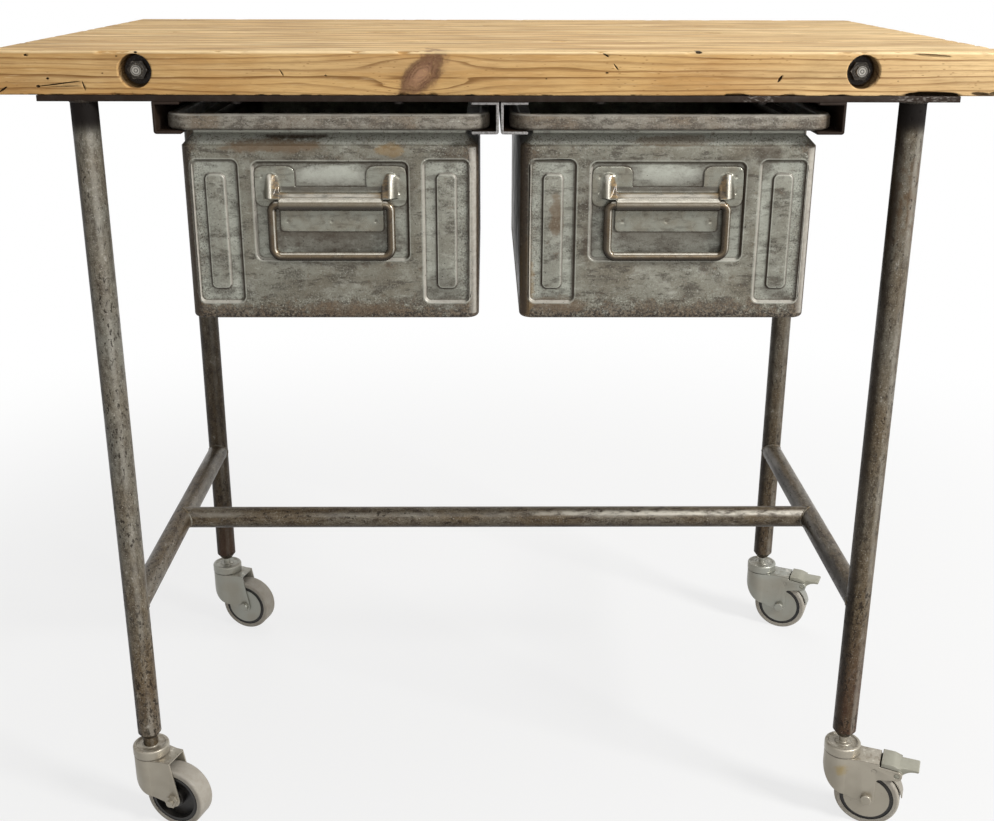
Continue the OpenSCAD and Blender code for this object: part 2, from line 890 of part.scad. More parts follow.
module swivel_balls() {
    color(zinc_c)
        for (c = casters)
            at_caster(c)
                for (i = [0:ball_count - 1])
                    rotate([0, 0, 360 / ball_count * i])
                        translate([race_r, 0, fork_z + ball_d / 2 + ball_gap])
                            sphere(d = ball_d, $fn = 24);
}

// Plan of the fork: round nose under the head, cheeks drawn in beside the wheel
module fork_plan(inset) {
    r = nose_r - inset;
    w = cheek_out - inset;
    circle(r);
    polygon([[0, -r], [draw_in_x, -w], [fork_reach, -w], [fork_reach, w], [draw_in_x, w], [0, r]]);
}

// Lower edge of the fork: round the axle boss and up the curved front edge
function fork_lower_edge() = concat(
    arc(trail, wheel_r, axle_boss_r, 15, -122),
    arc(fork_curve_r - head_d / 2, wheel_r + fork_curve_r, fork_curve_r, 258, 180));

// Side of a plain fork: a blade from the head down to the axle
module fork_side() {
    polygon(concat([[-head_d / 2, fork_z], [fork_end_x, fork_z]], fork_lower_edge()));
}

// Side of a braked fork: the same blade with an arm that carries the pedal
module fork_side_braked() {
    polygon(concat(
        [[-head_d / 2, fork_z], [brake_plate_x, fork_z], [brake_plate_x, arm_z]],
        arc(pedal_x, pedal_z, pedal_hub_r, 85, -80),
        arc(trail + axle_boss_r + arm_fillet, arm_drop, arm_fillet, 95, 180, 6),
        fork_lower_edge()));
}

module caster_fork(c) {
    color(zinc_c)
        at_caster(c)
            difference() {
                intersection() {
                    difference() {
                        linear_extrude(fork_z)
                            fork_plan(0);
                        translate([0, 0, -1])
                            linear_extrude(plate_z + 1)
                                fork_plan(fork_t);
                    }
                    across(head_d)
                        if (c[4])
                            fork_side_braked();
                        else
                            fork_side();
                }
                translate([0, 0, plate_z - 1])
                    cylinder(h = fork_t + 2, r = kingpin_d / 2 + run_clear);
                cross_cyl(trail, wheel_r, axle_d / 2 + run_clear, head_d);
                if (c[4]) {
                    cross_cyl(pedal_x, pedal_z, pedal_pin_d / 2 + run_clear, head_d);
                    at_spring_pin()
                        cross_cyl(0, 0, spring_pin_d / 2 + run_clear, head_d);
                }
            }
}

// The pin that holds the brake spring, above the wheel
module at_spring_pin() {
    r = spring_ri + spring_t / 2;
    translate([trail + r * cos(spring_pin_angle), 0, wheel_r + r * sin(spring_pin_angle)])
        children();
}

// Axle bolt with its round head, nut and the sleeve that the wheel turns on.
// The front left bolt sits the other way round, with its nut towards the front.
module caster_axle(c) {
    head_r = axle_nut_af / 2;
    edge = 1.5;
    color(zinc_c)
        at_caster(c)
            translate([trail, 0, wheel_r])
                mirror([0, c[0] == "fl" ? 1 : 0, 0])
                    rotate([90, 0, 0]) {
                        translate([0, 0, -cheek_out])
                            cylinder(h = 2 * cheek_out, d = axle_d);
                        translate([0, 0, cheek_out])
                            rotate_extrude() {
                                square([head_r, axle_nut_t - edge]);
                                square([head_r - edge, axle_nut_t]);
                                translate([head_r - edge, axle_nut_t - edge])
                                    circle(edge);
                            }
                        translate([0, 0, -cheek_out - axle_nut_t])
                            cylinder(h = axle_nut_t, d = axle_nut_af / cos(30), $fn = 6);
                        translate([0, 0, -cheek_out - axle_nut_t - axle_tail])
                            cylinder(h = axle_tail, d = axle_d);
                        difference() {
                            translate([0, 0, -cheek_in])
                                cylinder(h = 2 * cheek_in, d = sleeve_d);
                            translate([0, 0, -cheek_in - 1])
                                cylinder(h = 2 * cheek_in + 2, r = axle_d / 2 + run_clear);
                        }
                    }
}

// Wheel core: hub, web and the rim that the tyre is moulded on
module caster_core(c) {
    groove = 1.5;
    color(core_c)
        at_caster(c)
            translate([trail, 0, wheel_r])
                rotate([90, 0, 0])
                    rotate_extrude()
                        difference() {
                            union() {
                                translate([sleeve_d / 2 + run_clear, -core_half])
                                    square([(hub_d - sleeve_d) / 2, 2 * core_half]);
                                translate([hub_d / 2 - 1, -core_web / 2])
                                    square([core_d / 2 - hub_d / 2 - 1, core_web]);
                                translate([core_d / 2 - core_rim, -core_half])
                                    square([core_rim, 2 * core_half]);
                            }
                            translate([core_d / 2 - groove, core_half - groove / 3])
                                square([groove / 2, groove]);
                        }
}

module caster_tyre(c) {
    color(tyre_c)
        at_caster(c)
            translate([trail, 0, wheel_r])
                rotate([90, 0, 0])
                    rotate_extrude() {
                        translate([core_d / 2 + run_clear, -tyre_w / 2])
                            square([wheel_r - core_d / 2 - tyre_r - run_clear, tyre_w]);
                        translate([core_d / 2 + run_clear, -tyre_w / 2 + tyre_r])
                            square([wheel_r - core_d / 2 - run_clear, tyre_w - 2 * tyre_r]);
                        for (s = [-1, 1])
                            translate([wheel_r - tyre_r, s * (tyre_w / 2 - tyre_r)])
                                circle(tyre_r);
                    }
}

// Two thin discs that keep thread out of the hub, clamped inside the cheeks
module caster_guards(c) {
    guard_t = fork_play - 0.2;
    color(zinc_c)
        at_caster(c)
            for (s = [-1, 1])
                translate([trail, s * (cheek_in - guard_t / 2), wheel_r])
                    rotate([90, 0, 0])
                        difference() {
                            cylinder(h = guard_t, d = guard_d, center = true);
                            cylinder(h = guard_t + 2, r = sleeve_d / 2 + run_clear, center = true);
                        }
}

// Brake pedal: hub on its pin, raised hood, tread and the cam that bends the spring
module caster_pedal(c) {
    color(pedal_c)
        at_caster(c) {
            cross_cyl(pedal_x, pedal_z, pedal_pin_d / 2, cheek_out);
            cross_cyl(pedal_x, pedal_z, pedal_hub_r, pedal_web);
            brake_cam();
            across(cheek_out)
                pedal_hood();
            across(pedal_tip_w / 2)
                pedal_tread();
        }
}

// Nose on the hub that points at the axle when the pedal is pressed
module brake_cam() {
    to_axle = [trail - pedal_x, wheel_r - pedal_z];
    reach = norm(to_axle) - spring_ri - spring_t - cam_clear - cam_r;
    a = atan2(to_axle[1], to_axle[0]) + pedal_throw;
    hull() {
        cross_cyl(pedal_x, pedal_z, cam_r, spring_w / 2);
        cross_cyl(pedal_x + reach * cos(a), pedal_z + reach * sin(a), cam_r, spring_w / 2);
    }
}

// Hood over the fork's arms, as wide as the fork, falling in an S to the tread
module pedal_hood() {
    fall_x = pedal_x - 7;
    fall_w = 11;
    n = 8;
    polygon(concat(
        [[hood_x, hood_under], [hood_x, hood_z]],
        [for (i = [0:n]) [fall_x + fall_w * i / n, tread_z + pedal_step * (1 + cos(180 * i / n)) / 2]],
        [[pedal_x + 2, pedal_z + pedal_hub_r + pedal_gap]]));
}

// Tread and the web under it, which runs back into the hub
module pedal_tread() {
    tip_r = pedal_tip_t / 2;
    polygon(concat(
        [[hood_x + 4, hood_under], [hood_x + 4, hood_under + 1], [pedal_x - 3, tread_z]],
        arc(pedal_tip_x - tip_r, tread_z - tip_r, tip_r, 90, -90, 8),
        arc(pedal_tip_x - 2 * tip_r, tread_under - pedal_curve_r, pedal_curve_r, 90, 148, 10),
        [[pedal_x, pedal_z - pedal_hub_r / 2], [pedal_x - pedal_hub_r, pedal_z]]));
}

// Brake spring: a curved leaf behind the tyre, rolled onto a pin across the fork
module caster_brake_spring(c) {
    color(zinc_c)
        at_caster(c) {
            translate([trail, spring_w / 2, wheel_r])
                rotate([90, 0, 0])
                    rotate([0, 0, spring_end_angle])
                        rotate_extrude(angle = spring_pin_angle - spring_end_angle)
                            translate([spring_ri, 0])
                                square([spring_t, spring_w]);
            at_spring_pin()
                cross_cyl(0, 0, spring_pin_d / 2, cheek_out);
        }
}

plank(0);  // plank_1
plank(1);  // plank_2
plank(2);  // plank_3
plank(3);  // plank_4
tie_rods();
tie_washers();
tie_nuts();
frame_bar(-frame_w / 2, y_front, frame_w, bar_w);  // frame_bar_front
frame_bar(-frame_w / 2, y_front + frame_d - bar_w, frame_w, bar_w);  // frame_bar_rear
frame_bar_side(-1);  // frame_bar_left
frame_bar_side(1);  // frame_bar_right
top_screws();
rail(-rail_web_out - rail_t, 1);  // rail_left_outer
rail(-rail_gap / 2, -1);  // rail_left_inner
rail(rail_gap / 2, 1);  // rail_right_inner
rail(rail_web_out + rail_t, -1);  // rail_right_outer
leg(-leg_x, leg_front_y);  // leg_front_left
leg(leg_x, leg_front_y);  // leg_front_right
leg(-leg_x, leg_rear_y);  // leg_rear_left
leg(leg_x, leg_rear_y);  // leg_rear_right
stretcher_side(-1);  // stretcher_left
stretcher_side(1);  // stretcher_right
stretcher_long();
leg_plugs();
crate_shell(-crate_x);  // crate_left_shell
crate_rim_wire(-crate_x);  // crate_left_rim_wire
crate_handle_plate(-crate_x);  // crate_left_handle_plate
crate_bail(-crate_x);  // crate_left_bail
crate_shell(crate_x);  // crate_right_shell
crate_rim_wire(crate_x);  // crate_right_rim_wire
crate_handle_plate(crate_x);  // crate_right_handle_plate
crate_bail(crate_x);  // crate_right_bail
caster_stem(casters[0]);  // caster_fl_stem
caster_fork(casters[0]);  // caster_fl_fork
caster_axle(casters[0]);  // caster_fl_axle
caster_core(casters[0]);  // caster_fl_core
caster_tyre(casters[0]);  // caster_fl_tyre
caster_stem(casters[1]);  // caster_fr_stem
caster_fork(casters[1]);  // caster_fr_fork
caster_axle(casters[1]);  // caster_fr_axle
caster_core(casters[1]);  // caster_fr_core
caster_tyre(casters[1]);  // caster_fr_tyre
caster_stem(casters[2]);  // caster_rl_stem
caster_fork(casters[2]);  // caster_rl_fork
caster_axle(casters[2]);  // caster_rl_axle
caster_core(casters[2]);  // caster_rl_core
caster_tyre(casters[2]);  // caster_rl_tyre
caster_stem(casters[3]);  // caster_rr_stem
caster_fork(casters[3]);  // caster_rr_fork
caster_axle(casters[3]);  // caster_rr_axle
caster_core(casters[3]);  // caster_rr_core
caster_tyre(casters[3]);  // caster_rr_tyre
caster_guards(casters[1]);  // caster_fr_guards
caster_guards(casters[2]);  // caster_rl_guards
caster_guards(casters[3]);  // caster_rr_guards
caster_pedal(casters[1]);  // caster_fr_pedal
caster_pedal(casters[3]);  // caster_rr_pedal
caster_brake_spring(casters[1]);  // caster_fr_brake_spring
caster_brake_spring(casters[3]);  // caster_rr_brake_spring
swivel_balls();
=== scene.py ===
"""Looks of an industrial work table on casters, built around its packed construction.

The frame holds every piece at its real size and place. This script gives each surface its finish,
carves the worn boards of the top, draws out the crates' handle plates, adds the weld beads, and sets
the light, the floor and the camera.
"""

import json
import logging
import math
from contextlib import contextmanager
from dataclasses import dataclass
from enum import Enum
from typing import Callable, Iterable, Iterator, Optional, Sequence, Union

import bmesh
import bpy
from mathutils import Matrix, Vector, noise

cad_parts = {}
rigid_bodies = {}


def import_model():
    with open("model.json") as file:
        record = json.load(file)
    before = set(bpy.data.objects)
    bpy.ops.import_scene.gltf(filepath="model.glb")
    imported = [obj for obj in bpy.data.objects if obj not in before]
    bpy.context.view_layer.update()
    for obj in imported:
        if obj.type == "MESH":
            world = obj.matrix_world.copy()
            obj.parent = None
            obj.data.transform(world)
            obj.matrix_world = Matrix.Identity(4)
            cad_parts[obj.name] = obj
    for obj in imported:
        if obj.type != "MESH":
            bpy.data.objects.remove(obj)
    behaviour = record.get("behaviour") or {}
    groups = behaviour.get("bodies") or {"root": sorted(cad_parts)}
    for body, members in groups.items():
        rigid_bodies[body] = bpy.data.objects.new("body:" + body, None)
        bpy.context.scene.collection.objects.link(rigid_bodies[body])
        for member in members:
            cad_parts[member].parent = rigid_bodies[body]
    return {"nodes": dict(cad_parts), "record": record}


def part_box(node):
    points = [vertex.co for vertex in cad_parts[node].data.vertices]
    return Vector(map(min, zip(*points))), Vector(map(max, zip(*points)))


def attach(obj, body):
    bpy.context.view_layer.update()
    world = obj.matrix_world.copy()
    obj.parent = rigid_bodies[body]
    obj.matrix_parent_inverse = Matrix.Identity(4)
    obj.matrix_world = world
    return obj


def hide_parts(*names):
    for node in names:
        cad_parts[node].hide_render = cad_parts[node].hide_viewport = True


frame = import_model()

LOG = logging.getLogger("work_table")
MM = 0.001
FLAT_ANGLE = math.radians(1)
SHARP_ANGLE = math.radians(24)
X_AXIS, Y_AXIS, Z_AXIS = Vector((1, 0, 0)), Vector((0, 1, 0)), Vector((0, 0, 1))

Colour = tuple[float, float, float, float]
Triple = tuple[float, float, float]
Number = Union[float, "Shade"]


def linear(red: int, green: int, blue: int) -> Colour:
    """Turns a display colour from 0 to 255 into the linear colour that a shader takes."""

    def channel(value: int) -> float:
        """Turns one channel linear."""
        share = value / 255
        return share / 12.92 if share <= 0.04045 else ((share + 0.055) / 1.055) ** 2.4

    return channel(red), channel(green), channel(blue), 1.0


class Tone(Enum):
    """Colours read off the object; some also serve as painted shade and painted highlights."""

    WOOD_CREAM = linear(232, 206, 160)
    WOOD_PALE = linear(205, 168, 113)
    WOOD_TAN = linear(183, 139, 84)
    WOOD_GRAIN = linear(116, 78, 40)
    WOOD_OLIVE = linear(140, 114, 76)
    WOOD_GREY = linear(150, 124, 92)
    WOOD_DARK = linear(30, 20, 13)
    KNOT_RING = linear(120, 88, 68)
    KNOT_HEART = linear(164, 126, 98)
    KNOT_DARK = linear(70, 46, 36)
    STEEL_GREY = linear(116, 113, 103)
    STEEL_LIGHT = linear(186, 181, 170)
    STEEL_BRIGHT = linear(222, 216, 202)
    STEEL_BROWN = linear(98, 84, 64)
    STEEL_PIT = linear(32, 25, 18)
    MILL_SCALE = linear(13, 8, 5)
    RUST_DARK = linear(58, 47, 36)
    RUST_BROWN = linear(98, 80, 60)
    RUST_RED = linear(74, 44, 30)
    CRATE_GREEN = linear(140, 141, 130)
    CRATE_WARM = linear(100, 93, 79)
    CRATE_DARK = linear(66, 60, 51)
    CRATE_LIGHT = linear(186, 187, 176)
    RIM_STEEL = linear(132, 128, 118)
    CRATE_STAIN = linear(132, 106, 66)
    LACQUER = linear(38, 28, 21)
    LACQUER_WORN = linear(116, 110, 104)
    CUT_EDGE = linear(150, 148, 146)
    ZINC = linear(162, 155, 141)
    ZINC_COOL = linear(146, 149, 142)
    ZINC_DULL = linear(140, 133, 119)
    ZINC_YELLOW = linear(150, 128, 72)
    TYRE = linear(160, 154, 143)
    TYRE_DUST = linear(136, 127, 114)
    CORE = linear(22, 21, 20)
    PEDAL = linear(152, 150, 136)
    PEDAL_WORN = linear(130, 126, 112)
    ROD = linear(150, 146, 138)
    NUT = linear(66, 60, 52)
    WASHER = linear(34, 28, 24)
    FLOOR = linear(206, 205, 203)


def math_node(operation: str, other_first: bool = False) -> Callable[..., "Shade"]:
    """Makes a method of Shade that adds one Math node.

    Args:
        operation: What the node works out.
        other_first: Whether the other number comes before the shade.

    Returns:
        The method.
    """

    def method(self: "Shade", other: Number = 0.0) -> "Shade":
        """Adds the node."""
        first, second = (other, self) if other_first else (self, other)
        return self.sheet.add("ShaderNodeMath", {"operation": operation}, {0: first, 1: second})

    return method


class Shade:
    """One socket of a node tree, written with Python's own operators.

    Args:
        sheet: The node sheet that holds the socket.
        socket: The output socket itself.
    """

    __add__ = __radd__ = math_node("ADD")
    __mul__ = __rmul__ = math_node("MULTIPLY")
    __sub__, __rsub__ = math_node("SUBTRACT"), math_node("SUBTRACT", other_first=True)
    __truediv__, __rtruediv__ = math_node("DIVIDE"), math_node("DIVIDE", other_first=True)
    __pow__ = math_node("POWER")
    __abs__ = math_node("ABSOLUTE")
    lowest, highest = math_node("MINIMUM"), math_node("MAXIMUM")
    fraction, whole = math_node("FRACT"), math_node("FLOOR")
    root = math_node("SQRT")

    def __init__(self, sheet: "NodeSheet", socket: bpy.types.NodeSocket) -> None:
        self.sheet = sheet
        self.socket = socket

    def rise(self, low: float, high: float) -> "Shade":
        """Goes smoothly from 0 at low to 1 at high, or the other way round where low is larger.

        Args:
            low: The value at which the result is 0.
            high: The value at which the result is 1.

        Returns:
            The smooth step.
        """
        start, stop = (0.0, 1.0) if low < high else (1.0, 0.0)
        return self.sheet.add(
            "ShaderNodeMapRange",
            {"interpolation_type": "SMOOTHSTEP"},
            {"Value": self, "From Min": min(low, high), "From Max": max(low, high),
             "To Min": start, "To Max": stop},
        )

    def near(self, centre: float, half_width: float, soft: float) -> "Shade":
        """Gives 1 within half_width of centre, fading to 0 over soft."""
        return abs(self - centre).rise(half_width + soft, half_width)


class NodeSheet:
    """Builds the nodes of one material.

    Args:
        name: The material's name.
        world: Whether the sheet is the world's and not a material's.
    """

    def __init__(self, name: str, world: bool = False) -> None:
        self.material = (bpy.data.worlds if world else bpy.data.materials).new(name)
        self.material.use_nodes = True
        self.output = "ShaderNodeOutputWorld" if world else "ShaderNodeOutputMaterial"
        self.tree = self.material.node_tree
        self.tree.nodes.clear()
        coordinates = self.tree.nodes.new("ShaderNodeTexCoord")
        metres = Shade(self, coordinates.outputs["Object"])
        self.place = self.scaled(metres, (1 / MM, 1 / MM, 1 / MM))
        self.facing = Shade(self, coordinates.outputs["Normal"])
        self.x, self.y, self.z = self.split(self.place)

    def add(self, kind: str, settings: dict, values: dict, output: Union[int, str] = 0) -> Shade:
        """Adds one node.

        Args:
            kind: The node's type.
            settings: Its properties.
            values: The values or links of its input sockets, by name or number.
            output: The output that is wanted.

        Returns:
            That output.
        """
        node = self.tree.nodes.new(kind)
        for name, value in settings.items():
            setattr(node, name, value)
        for key, value in values.items():
            self.feed(node.inputs[key], value)
        return Shade(self, node.outputs[output])

    def feed(self, socket: bpy.types.NodeSocket, value: object) -> None:
        """Links a shade to a socket, or sets the socket's own value."""
        if isinstance(value, Shade):
            self.tree.links.new(value.socket, socket)
        else:
            socket.default_value = value.value if isinstance(value, Enum) else value

    def split(self, vector: Shade) -> tuple[Shade, ...]:
        """Splits a vector into X, Y and Z."""
        node = self.tree.nodes.new("ShaderNodeSeparateXYZ")
        self.feed(node.inputs[0], vector)
        return tuple(Shade(self, output) for output in node.outputs)

    def vector(self, operation: str, first: Shade, second: Triple) -> Shade:
        """Adds a Vector Math node with two vectors."""
        return self.add("ShaderNodeVectorMath", {"operation": operation}, {0: first, 1: second})

    def scaled(self, vector: Shade, factors: Triple) -> Shade:
        """Stretches a vector along each axis."""
        return self.vector("MULTIPLY", vector, factors)

    def pattern(self, size: float, stretch: Triple, moved: Triple) -> Shade:
        """Gives the place at a pattern's own scale, moved along it."""
        factors = tuple(1 / (size * times) for times in stretch)
        return self.vector("ADD", self.scaled(self.place, factors), moved)

    def noise(self, size: float, stretch: Triple = (1, 1, 1), detail: float = 3,
              rough: float = 0.5, shift: float = 0.0) -> Shade:
        """Adds cloudy noise around 0.5.

        Args:
            size: The size of a cloud in millimetres.
            stretch: How much longer a cloud is along each axis.
            detail: The number of finer layers.
            rough: How strong the finer layers are.
            shift: Moves the pattern, so that two of one size differ.

        Returns:
            The noise, from 0 to 1.
        """
        values = {"Vector": self.pattern(size, stretch, (shift, shift * 1.7, -shift)),
                  "Scale": 1.0, "Detail": detail, "Roughness": rough}
        return self.add("ShaderNodeTexNoise", {"noise_dimensions": "3D"}, values)

    def cells(self, size: float, stretch: Triple = (1, 1, 1), shift: float = 0) -> Shade:
        """Adds the distance to scattered points, 0 at each point, for pits and specks."""
        moved = self.pattern(size, stretch, (shift, -shift, shift * 1.3))
        return self.add("ShaderNodeTexVoronoi", {"feature": "F1"}, {"Vector": moved, "Scale": 1.0})

    def layers(self, colour: object, *covers: tuple[Number, object]) -> Shade:
        """Lays colours over each other.

        Args:
            colour: The colour at the bottom.
            covers: A mask and a colour for each layer, from the bottom up.

        Returns:
            The colour that they give.
        """
        for mask, cover in covers:
            colour = self.add("ShaderNodeMix", {"data_type": "RGBA", "clamp_factor": True},
                              {0: mask, 6: colour, 7: cover}, output=2)
        return colour

    def finish(self, colour: Shade, roughness: Number, height: Shade, metallic: Number = 0.0,
               specular: float = 0.5) -> bpy.types.Material:
        """Adds the surface shader and the output.

        Args:
            colour: The base colour.
            roughness: How rough the surface is.
            height: The relief in millimetres.
            metallic: How metallic it is.
            specular: The specular level.

        Returns:
            The finished material.
        """
        relief = self.add("ShaderNodeBump", {}, {"Strength": 1.0, "Distance": MM, "Height": height})
        self.add_output(self.add("ShaderNodeBsdfPrincipled", {}, {
            "Base Color": colour, "Roughness": roughness, "Metallic": metallic,
            "Specular IOR Level": specular, "Normal": relief}))
        return self.material

    def seen(self) -> Shade:
        """Gives 1 to the rays that show a background: from the camera, off gloss and through glass."""
        kinds = ("Camera", "Glossy", "Transmission")
        rays = [self.add("ShaderNodeLightPath", {}, {}, f"Is {kind} Ray") for kind in kinds]
        return rays[0].highest(rays[1]).highest(rays[2])

    def add_output(self, surface: Shade) -> None:
        """Ends the material in its surface shader."""
        output = self.tree.nodes.new(self.output)
        self.tree.links.new(surface.socket, output.inputs["Surface"])


def spread(sheet: NodeSheet, size: float, low: float, high: float, **options: object) -> Shade:
    """Gives soft patches: 0 where noise of that size is under low, 1 where it is over high."""
    return sheet.noise(size, **options).rise(low, high)


def turned(aside: Shade, up: Shade, degrees: float) -> tuple[Shade, Shade]:
    """Turns a place in the front plane, so that its first part runs along a slope.

    Args:
        aside: Distance to the right.
        up: Distance upwards.
        degrees: Slope, rising to the right.

    Returns:
        The distances along the slope and across it.
    """
    cos, sin = math.cos(math.radians(degrees)), math.sin(math.radians(degrees))
    return aside * cos + up * sin, up * cos - aside * sin


def length(*parts: Shade) -> Shade:
    """Gives the length of a vector from its parts."""
    squares = [part * part for part in parts]
    return sum(squares[1:], squares[0]).root()


@dataclass(frozen=True)
class Mark:
    """A crack, dent or speck in the worktop's front face, in millimetres.

    Attributes:
        x: Middle of the mark, left to right.
        z: Middle of the mark above the floor.
        length: Its length.
        width: Its width.
        tilt: Its slope in degrees, rising to the right.
        depth: How deep it goes.
        dark: How dark it is, from 0 to 1.
    """

    x: float
    z: float
    length: float
    width: float
    tilt: float = 0.0
    depth: float = 1.5
    dark: float = 0.95


@dataclass(frozen=True)
class Knot:
    """A branch that the front board is cut through, in millimetres.

    Attributes:
        x: Middle of the knot, left to right.
        z: Middle of the knot above the floor.
        radius: Half its width across its long axis.
        stretch: How much longer the long axis is.
        tilt: Slope of the long axis in degrees.
        depth: How far the branch runs into the board.
    """

    x: float
    z: float
    radius: float
    stretch: float
    tilt: float
    depth: float


@dataclass(frozen=True)
class Top:
    """Faces of the worktop, in millimetres.

    Attributes:
        front: Front face.
        back: Rear face.
        bottom: Underside.
        top: Work surface.
        end: Distance of the end faces from the middle.
        rod_x: Distance of the tie rods from the middle.
        rod_z: Height of the tie rods.
        pocket: Radius of the rods' pockets.
    """

    front: float
    back: float
    bottom: float
    top: float
    end: float
    rod_x: float
    rod_z: float
    pocket: float


@dataclass(frozen=True)
class Pressing:
    """Rounded outline of a pressing in a crate's front, in millimetres.

    Attributes:
        x: Its middle, left to right.
        z: Its middle above the floor.
        width: Its width at the face.
        height: Its height at the face.
        slope: Run of its sloping sides, negative where it stands out.
        radius: Its corner radius.
    """

    x: float
    z: float
    width: float
    height: float
    slope: float
    radius: float = 7.0

    def gap(self, x: Shade, z: Shade) -> Shade:
        """Gives the distance outwards from the outline, negative inside it."""
        across = abs(x - self.x) - (self.width / 2 - self.radius)
        up = abs(z - self.z) - (self.height / 2 - self.radius)
        beyond = length(across.highest(0.0), up.highest(0.0))
        return beyond + across.highest(up).lowest(0.0) - self.radius


@dataclass(frozen=True)
class Stain:
    """A patch of another colour on a crate's front, in millimetres.

    Attributes:
        x: Its middle, left to right.
        z: Its middle above the floor.
        width: Its width.
        height: Its height.
        tone: Its colour.
        strength: How much it covers, from 0 to 1.
    """

    x: float
    z: float
    width: float
    height: float
    tone: Tone
    strength: float


@dataclass(frozen=True)
class Finish:
    """A surface finish that can be built into a material.

    Attributes:
        name: The material's name.
    """

    name: str

    def build(self) -> bpy.types.Material:
        """Builds the material."""
        raise NotImplementedError


@dataclass(frozen=True)
class BoardWood(Finish):
    """Sawn softwood board. Its growth rings are cylinders round a heart that runs along X.

    Attributes:
        worktop: Faces of the worktop that the board belongs to.
        heart: Place of the tree's heart, front to back and above the floor, in millimetres.
        shift: Moves the patterns, so that no two boards match.
        ring: Spacing of the growth rings.
        knot: The knot, where the board has one.
        marks: Cracks and dents in the front face.
    """

    worktop: Top
    heart: tuple[float, float]
    shift: float
    ring: float = 5.6
    knot: Optional[Knot] = None
    marks: tuple[Mark, ...] = ()

    def build(self) -> bpy.types.Material:
        """Builds the wood.

        Returns:
            The material.
        """
        sheet = NodeSheet(self.name)
        on_top = sheet.z.rise(self.worktop.top - 1.2, self.worktop.top - 0.4)
        on_end = abs(sheet.x).rise(self.worktop.end - 1.2, self.worktop.end - 0.4)
        grain = self._grain(sheet)
        streaks = spread(sheet, 13, 0.46, 0.70, stretch=(9, 1, 1), detail=5, rough=0.6, shift=self.shift + 5)
        fibre = sheet.noise(0.9, (26, 1, 1), detail=4, rough=0.65, shift=self.shift)
        colour = self._sapwood(sheet, grain, on_top, streaks, fibre)
        colour = sheet.layers(colour, (on_end * 0.45, Tone.WOOD_GREY))
        if self.knot is not None:
            colour = self._knot_rings(sheet, colour, self.knot)
        dirt_and_painted_light = self._dirt_and_shade(sheet)
        colour = sheet.layers(colour, (self._arris_wear_and_highlight(sheet), Tone.WOOD_CREAM), (dirt_and_painted_light, Tone.WOOD_DARK))
        height = 0.16 * fibre - 0.12 * grain - 0.25 * dirt_and_painted_light.rise(0.6, 1.0)
        return sheet.finish(colour, 0.68 + 0.14 * streaks, height, specular=0.07)

    def _grain(self, sheet: NodeSheet) -> Shade:
        """Gives the dark late wood of the growth rings, from 0 to 1."""
        wave = (sheet.noise(95, (4, 1, 1), detail=1, shift=self.shift) - 0.5) * 18
        ripple = (sheet.noise(20, (6, 1, 1), detail=2, shift=self.shift + 2) - 0.5) * 5
        uneven = (sheet.noise(10, (16, 1, 1), detail=2, shift=self.shift + 6) - 0.5) * 6
        across, up = sheet.y - self.heart[0] + wave, sheet.z - self.heart[1] + ripple
        if self.knot is not None:
            along = (sheet.x - self.knot.x) / (1.7 * self.knot.stretch)
            above = sheet.z - self.knot.z
            spot = self.knot.radius ** 2
            reach = (along * along + above * above).highest(spot)
            near_front = sheet.y.rise(self.worktop.front + self.knot.depth, self.worktop.front + 4)
            up = up - near_front * above * (spot / reach)
        turns = (length(across, up) + uneven) / self.ring
        turn = turns.fraction()
        plain = 0.45 + 0.55 * (turns.whole() * 0.618).fraction()
        return turn.rise(0.50, 0.90) * turn.rise(1.0, 0.93) * plain

    def _sapwood(
        self, sheet: NodeSheet, grain: Shade, on_top: Shade, streaks: Shade, fibre: Shade
    ) -> Shade:
        """Gives the colour of the clear wood, paler and greyer on the work surface, with painted light to the
        right.
        """
        strength = 0.55 + 0.45 * spread(sheet, 18, 0.34, 0.62, stretch=(10, 1, 0.6), shift=self.shift + 3)
        clouds = spread(sheet, 55, 0.35, 0.68, stretch=(3, 1, 1), detail=4, shift=self.shift)
        stained = {"detail": 6, "rough": 0.66}
        stains = spread(sheet, 34, 0.49, 0.70, stretch=(4, 1, 1), shift=self.shift + 9, **stained)
        broad = spread(sheet, 22, 0.44, 0.66, stretch=(9, 1, 1), shift=self.shift + 19, **stained)
        wisps = spread(sheet, 8, 0.50, 0.68, stretch=(12, 1.4, 1), shift=self.shift + 23, **stained)
        pale = spread(sheet, 16, 0.48, 0.62, stretch=(18, 1.2, 1), detail=4, shift=self.shift + 15)
        flecks = sheet.cells(2.6, (3.5, 1, 1), self.shift).rise(0.22, 0.08)
        return sheet.layers(
            Tone.WOOD_TAN,
            (clouds, Tone.WOOD_PALE),
            # Painted light: paler towards the right end, where the light falls.
            (sheet.x.rise(self.worktop.rod_x * 0.4, self.worktop.end) * 0.42, Tone.WOOD_CREAM),
            (pale * (0.16 + 0.66 * on_top), Tone.WOOD_CREAM),
            (grain * strength * (1.0 - 0.45 * on_top), Tone.WOOD_GRAIN),
            (fibre.rise(0.50, 0.72) * 0.36, Tone.WOOD_GRAIN),
            (fibre.rise(0.44, 0.28) * 0.34, Tone.WOOD_CREAM),
            (on_top * 0.34, Tone.WOOD_CREAM),
            ((0.10 + 0.50 * on_top) * streaks, Tone.WOOD_GREY),
            ((0.10 + 0.46 * on_top) * broad, Tone.WOOD_GREY),
            ((0.16 + 0.24 * on_top) * wisps, Tone.WOOD_GRAIN),
            ((0.34 + 0.06 * on_top) * stains, Tone.WOOD_OLIVE),
            (flecks * spread(sheet, 40, 0.48, 0.60, shift=self.shift + 8) * 0.6, Tone.WOOD_GRAIN),
        )

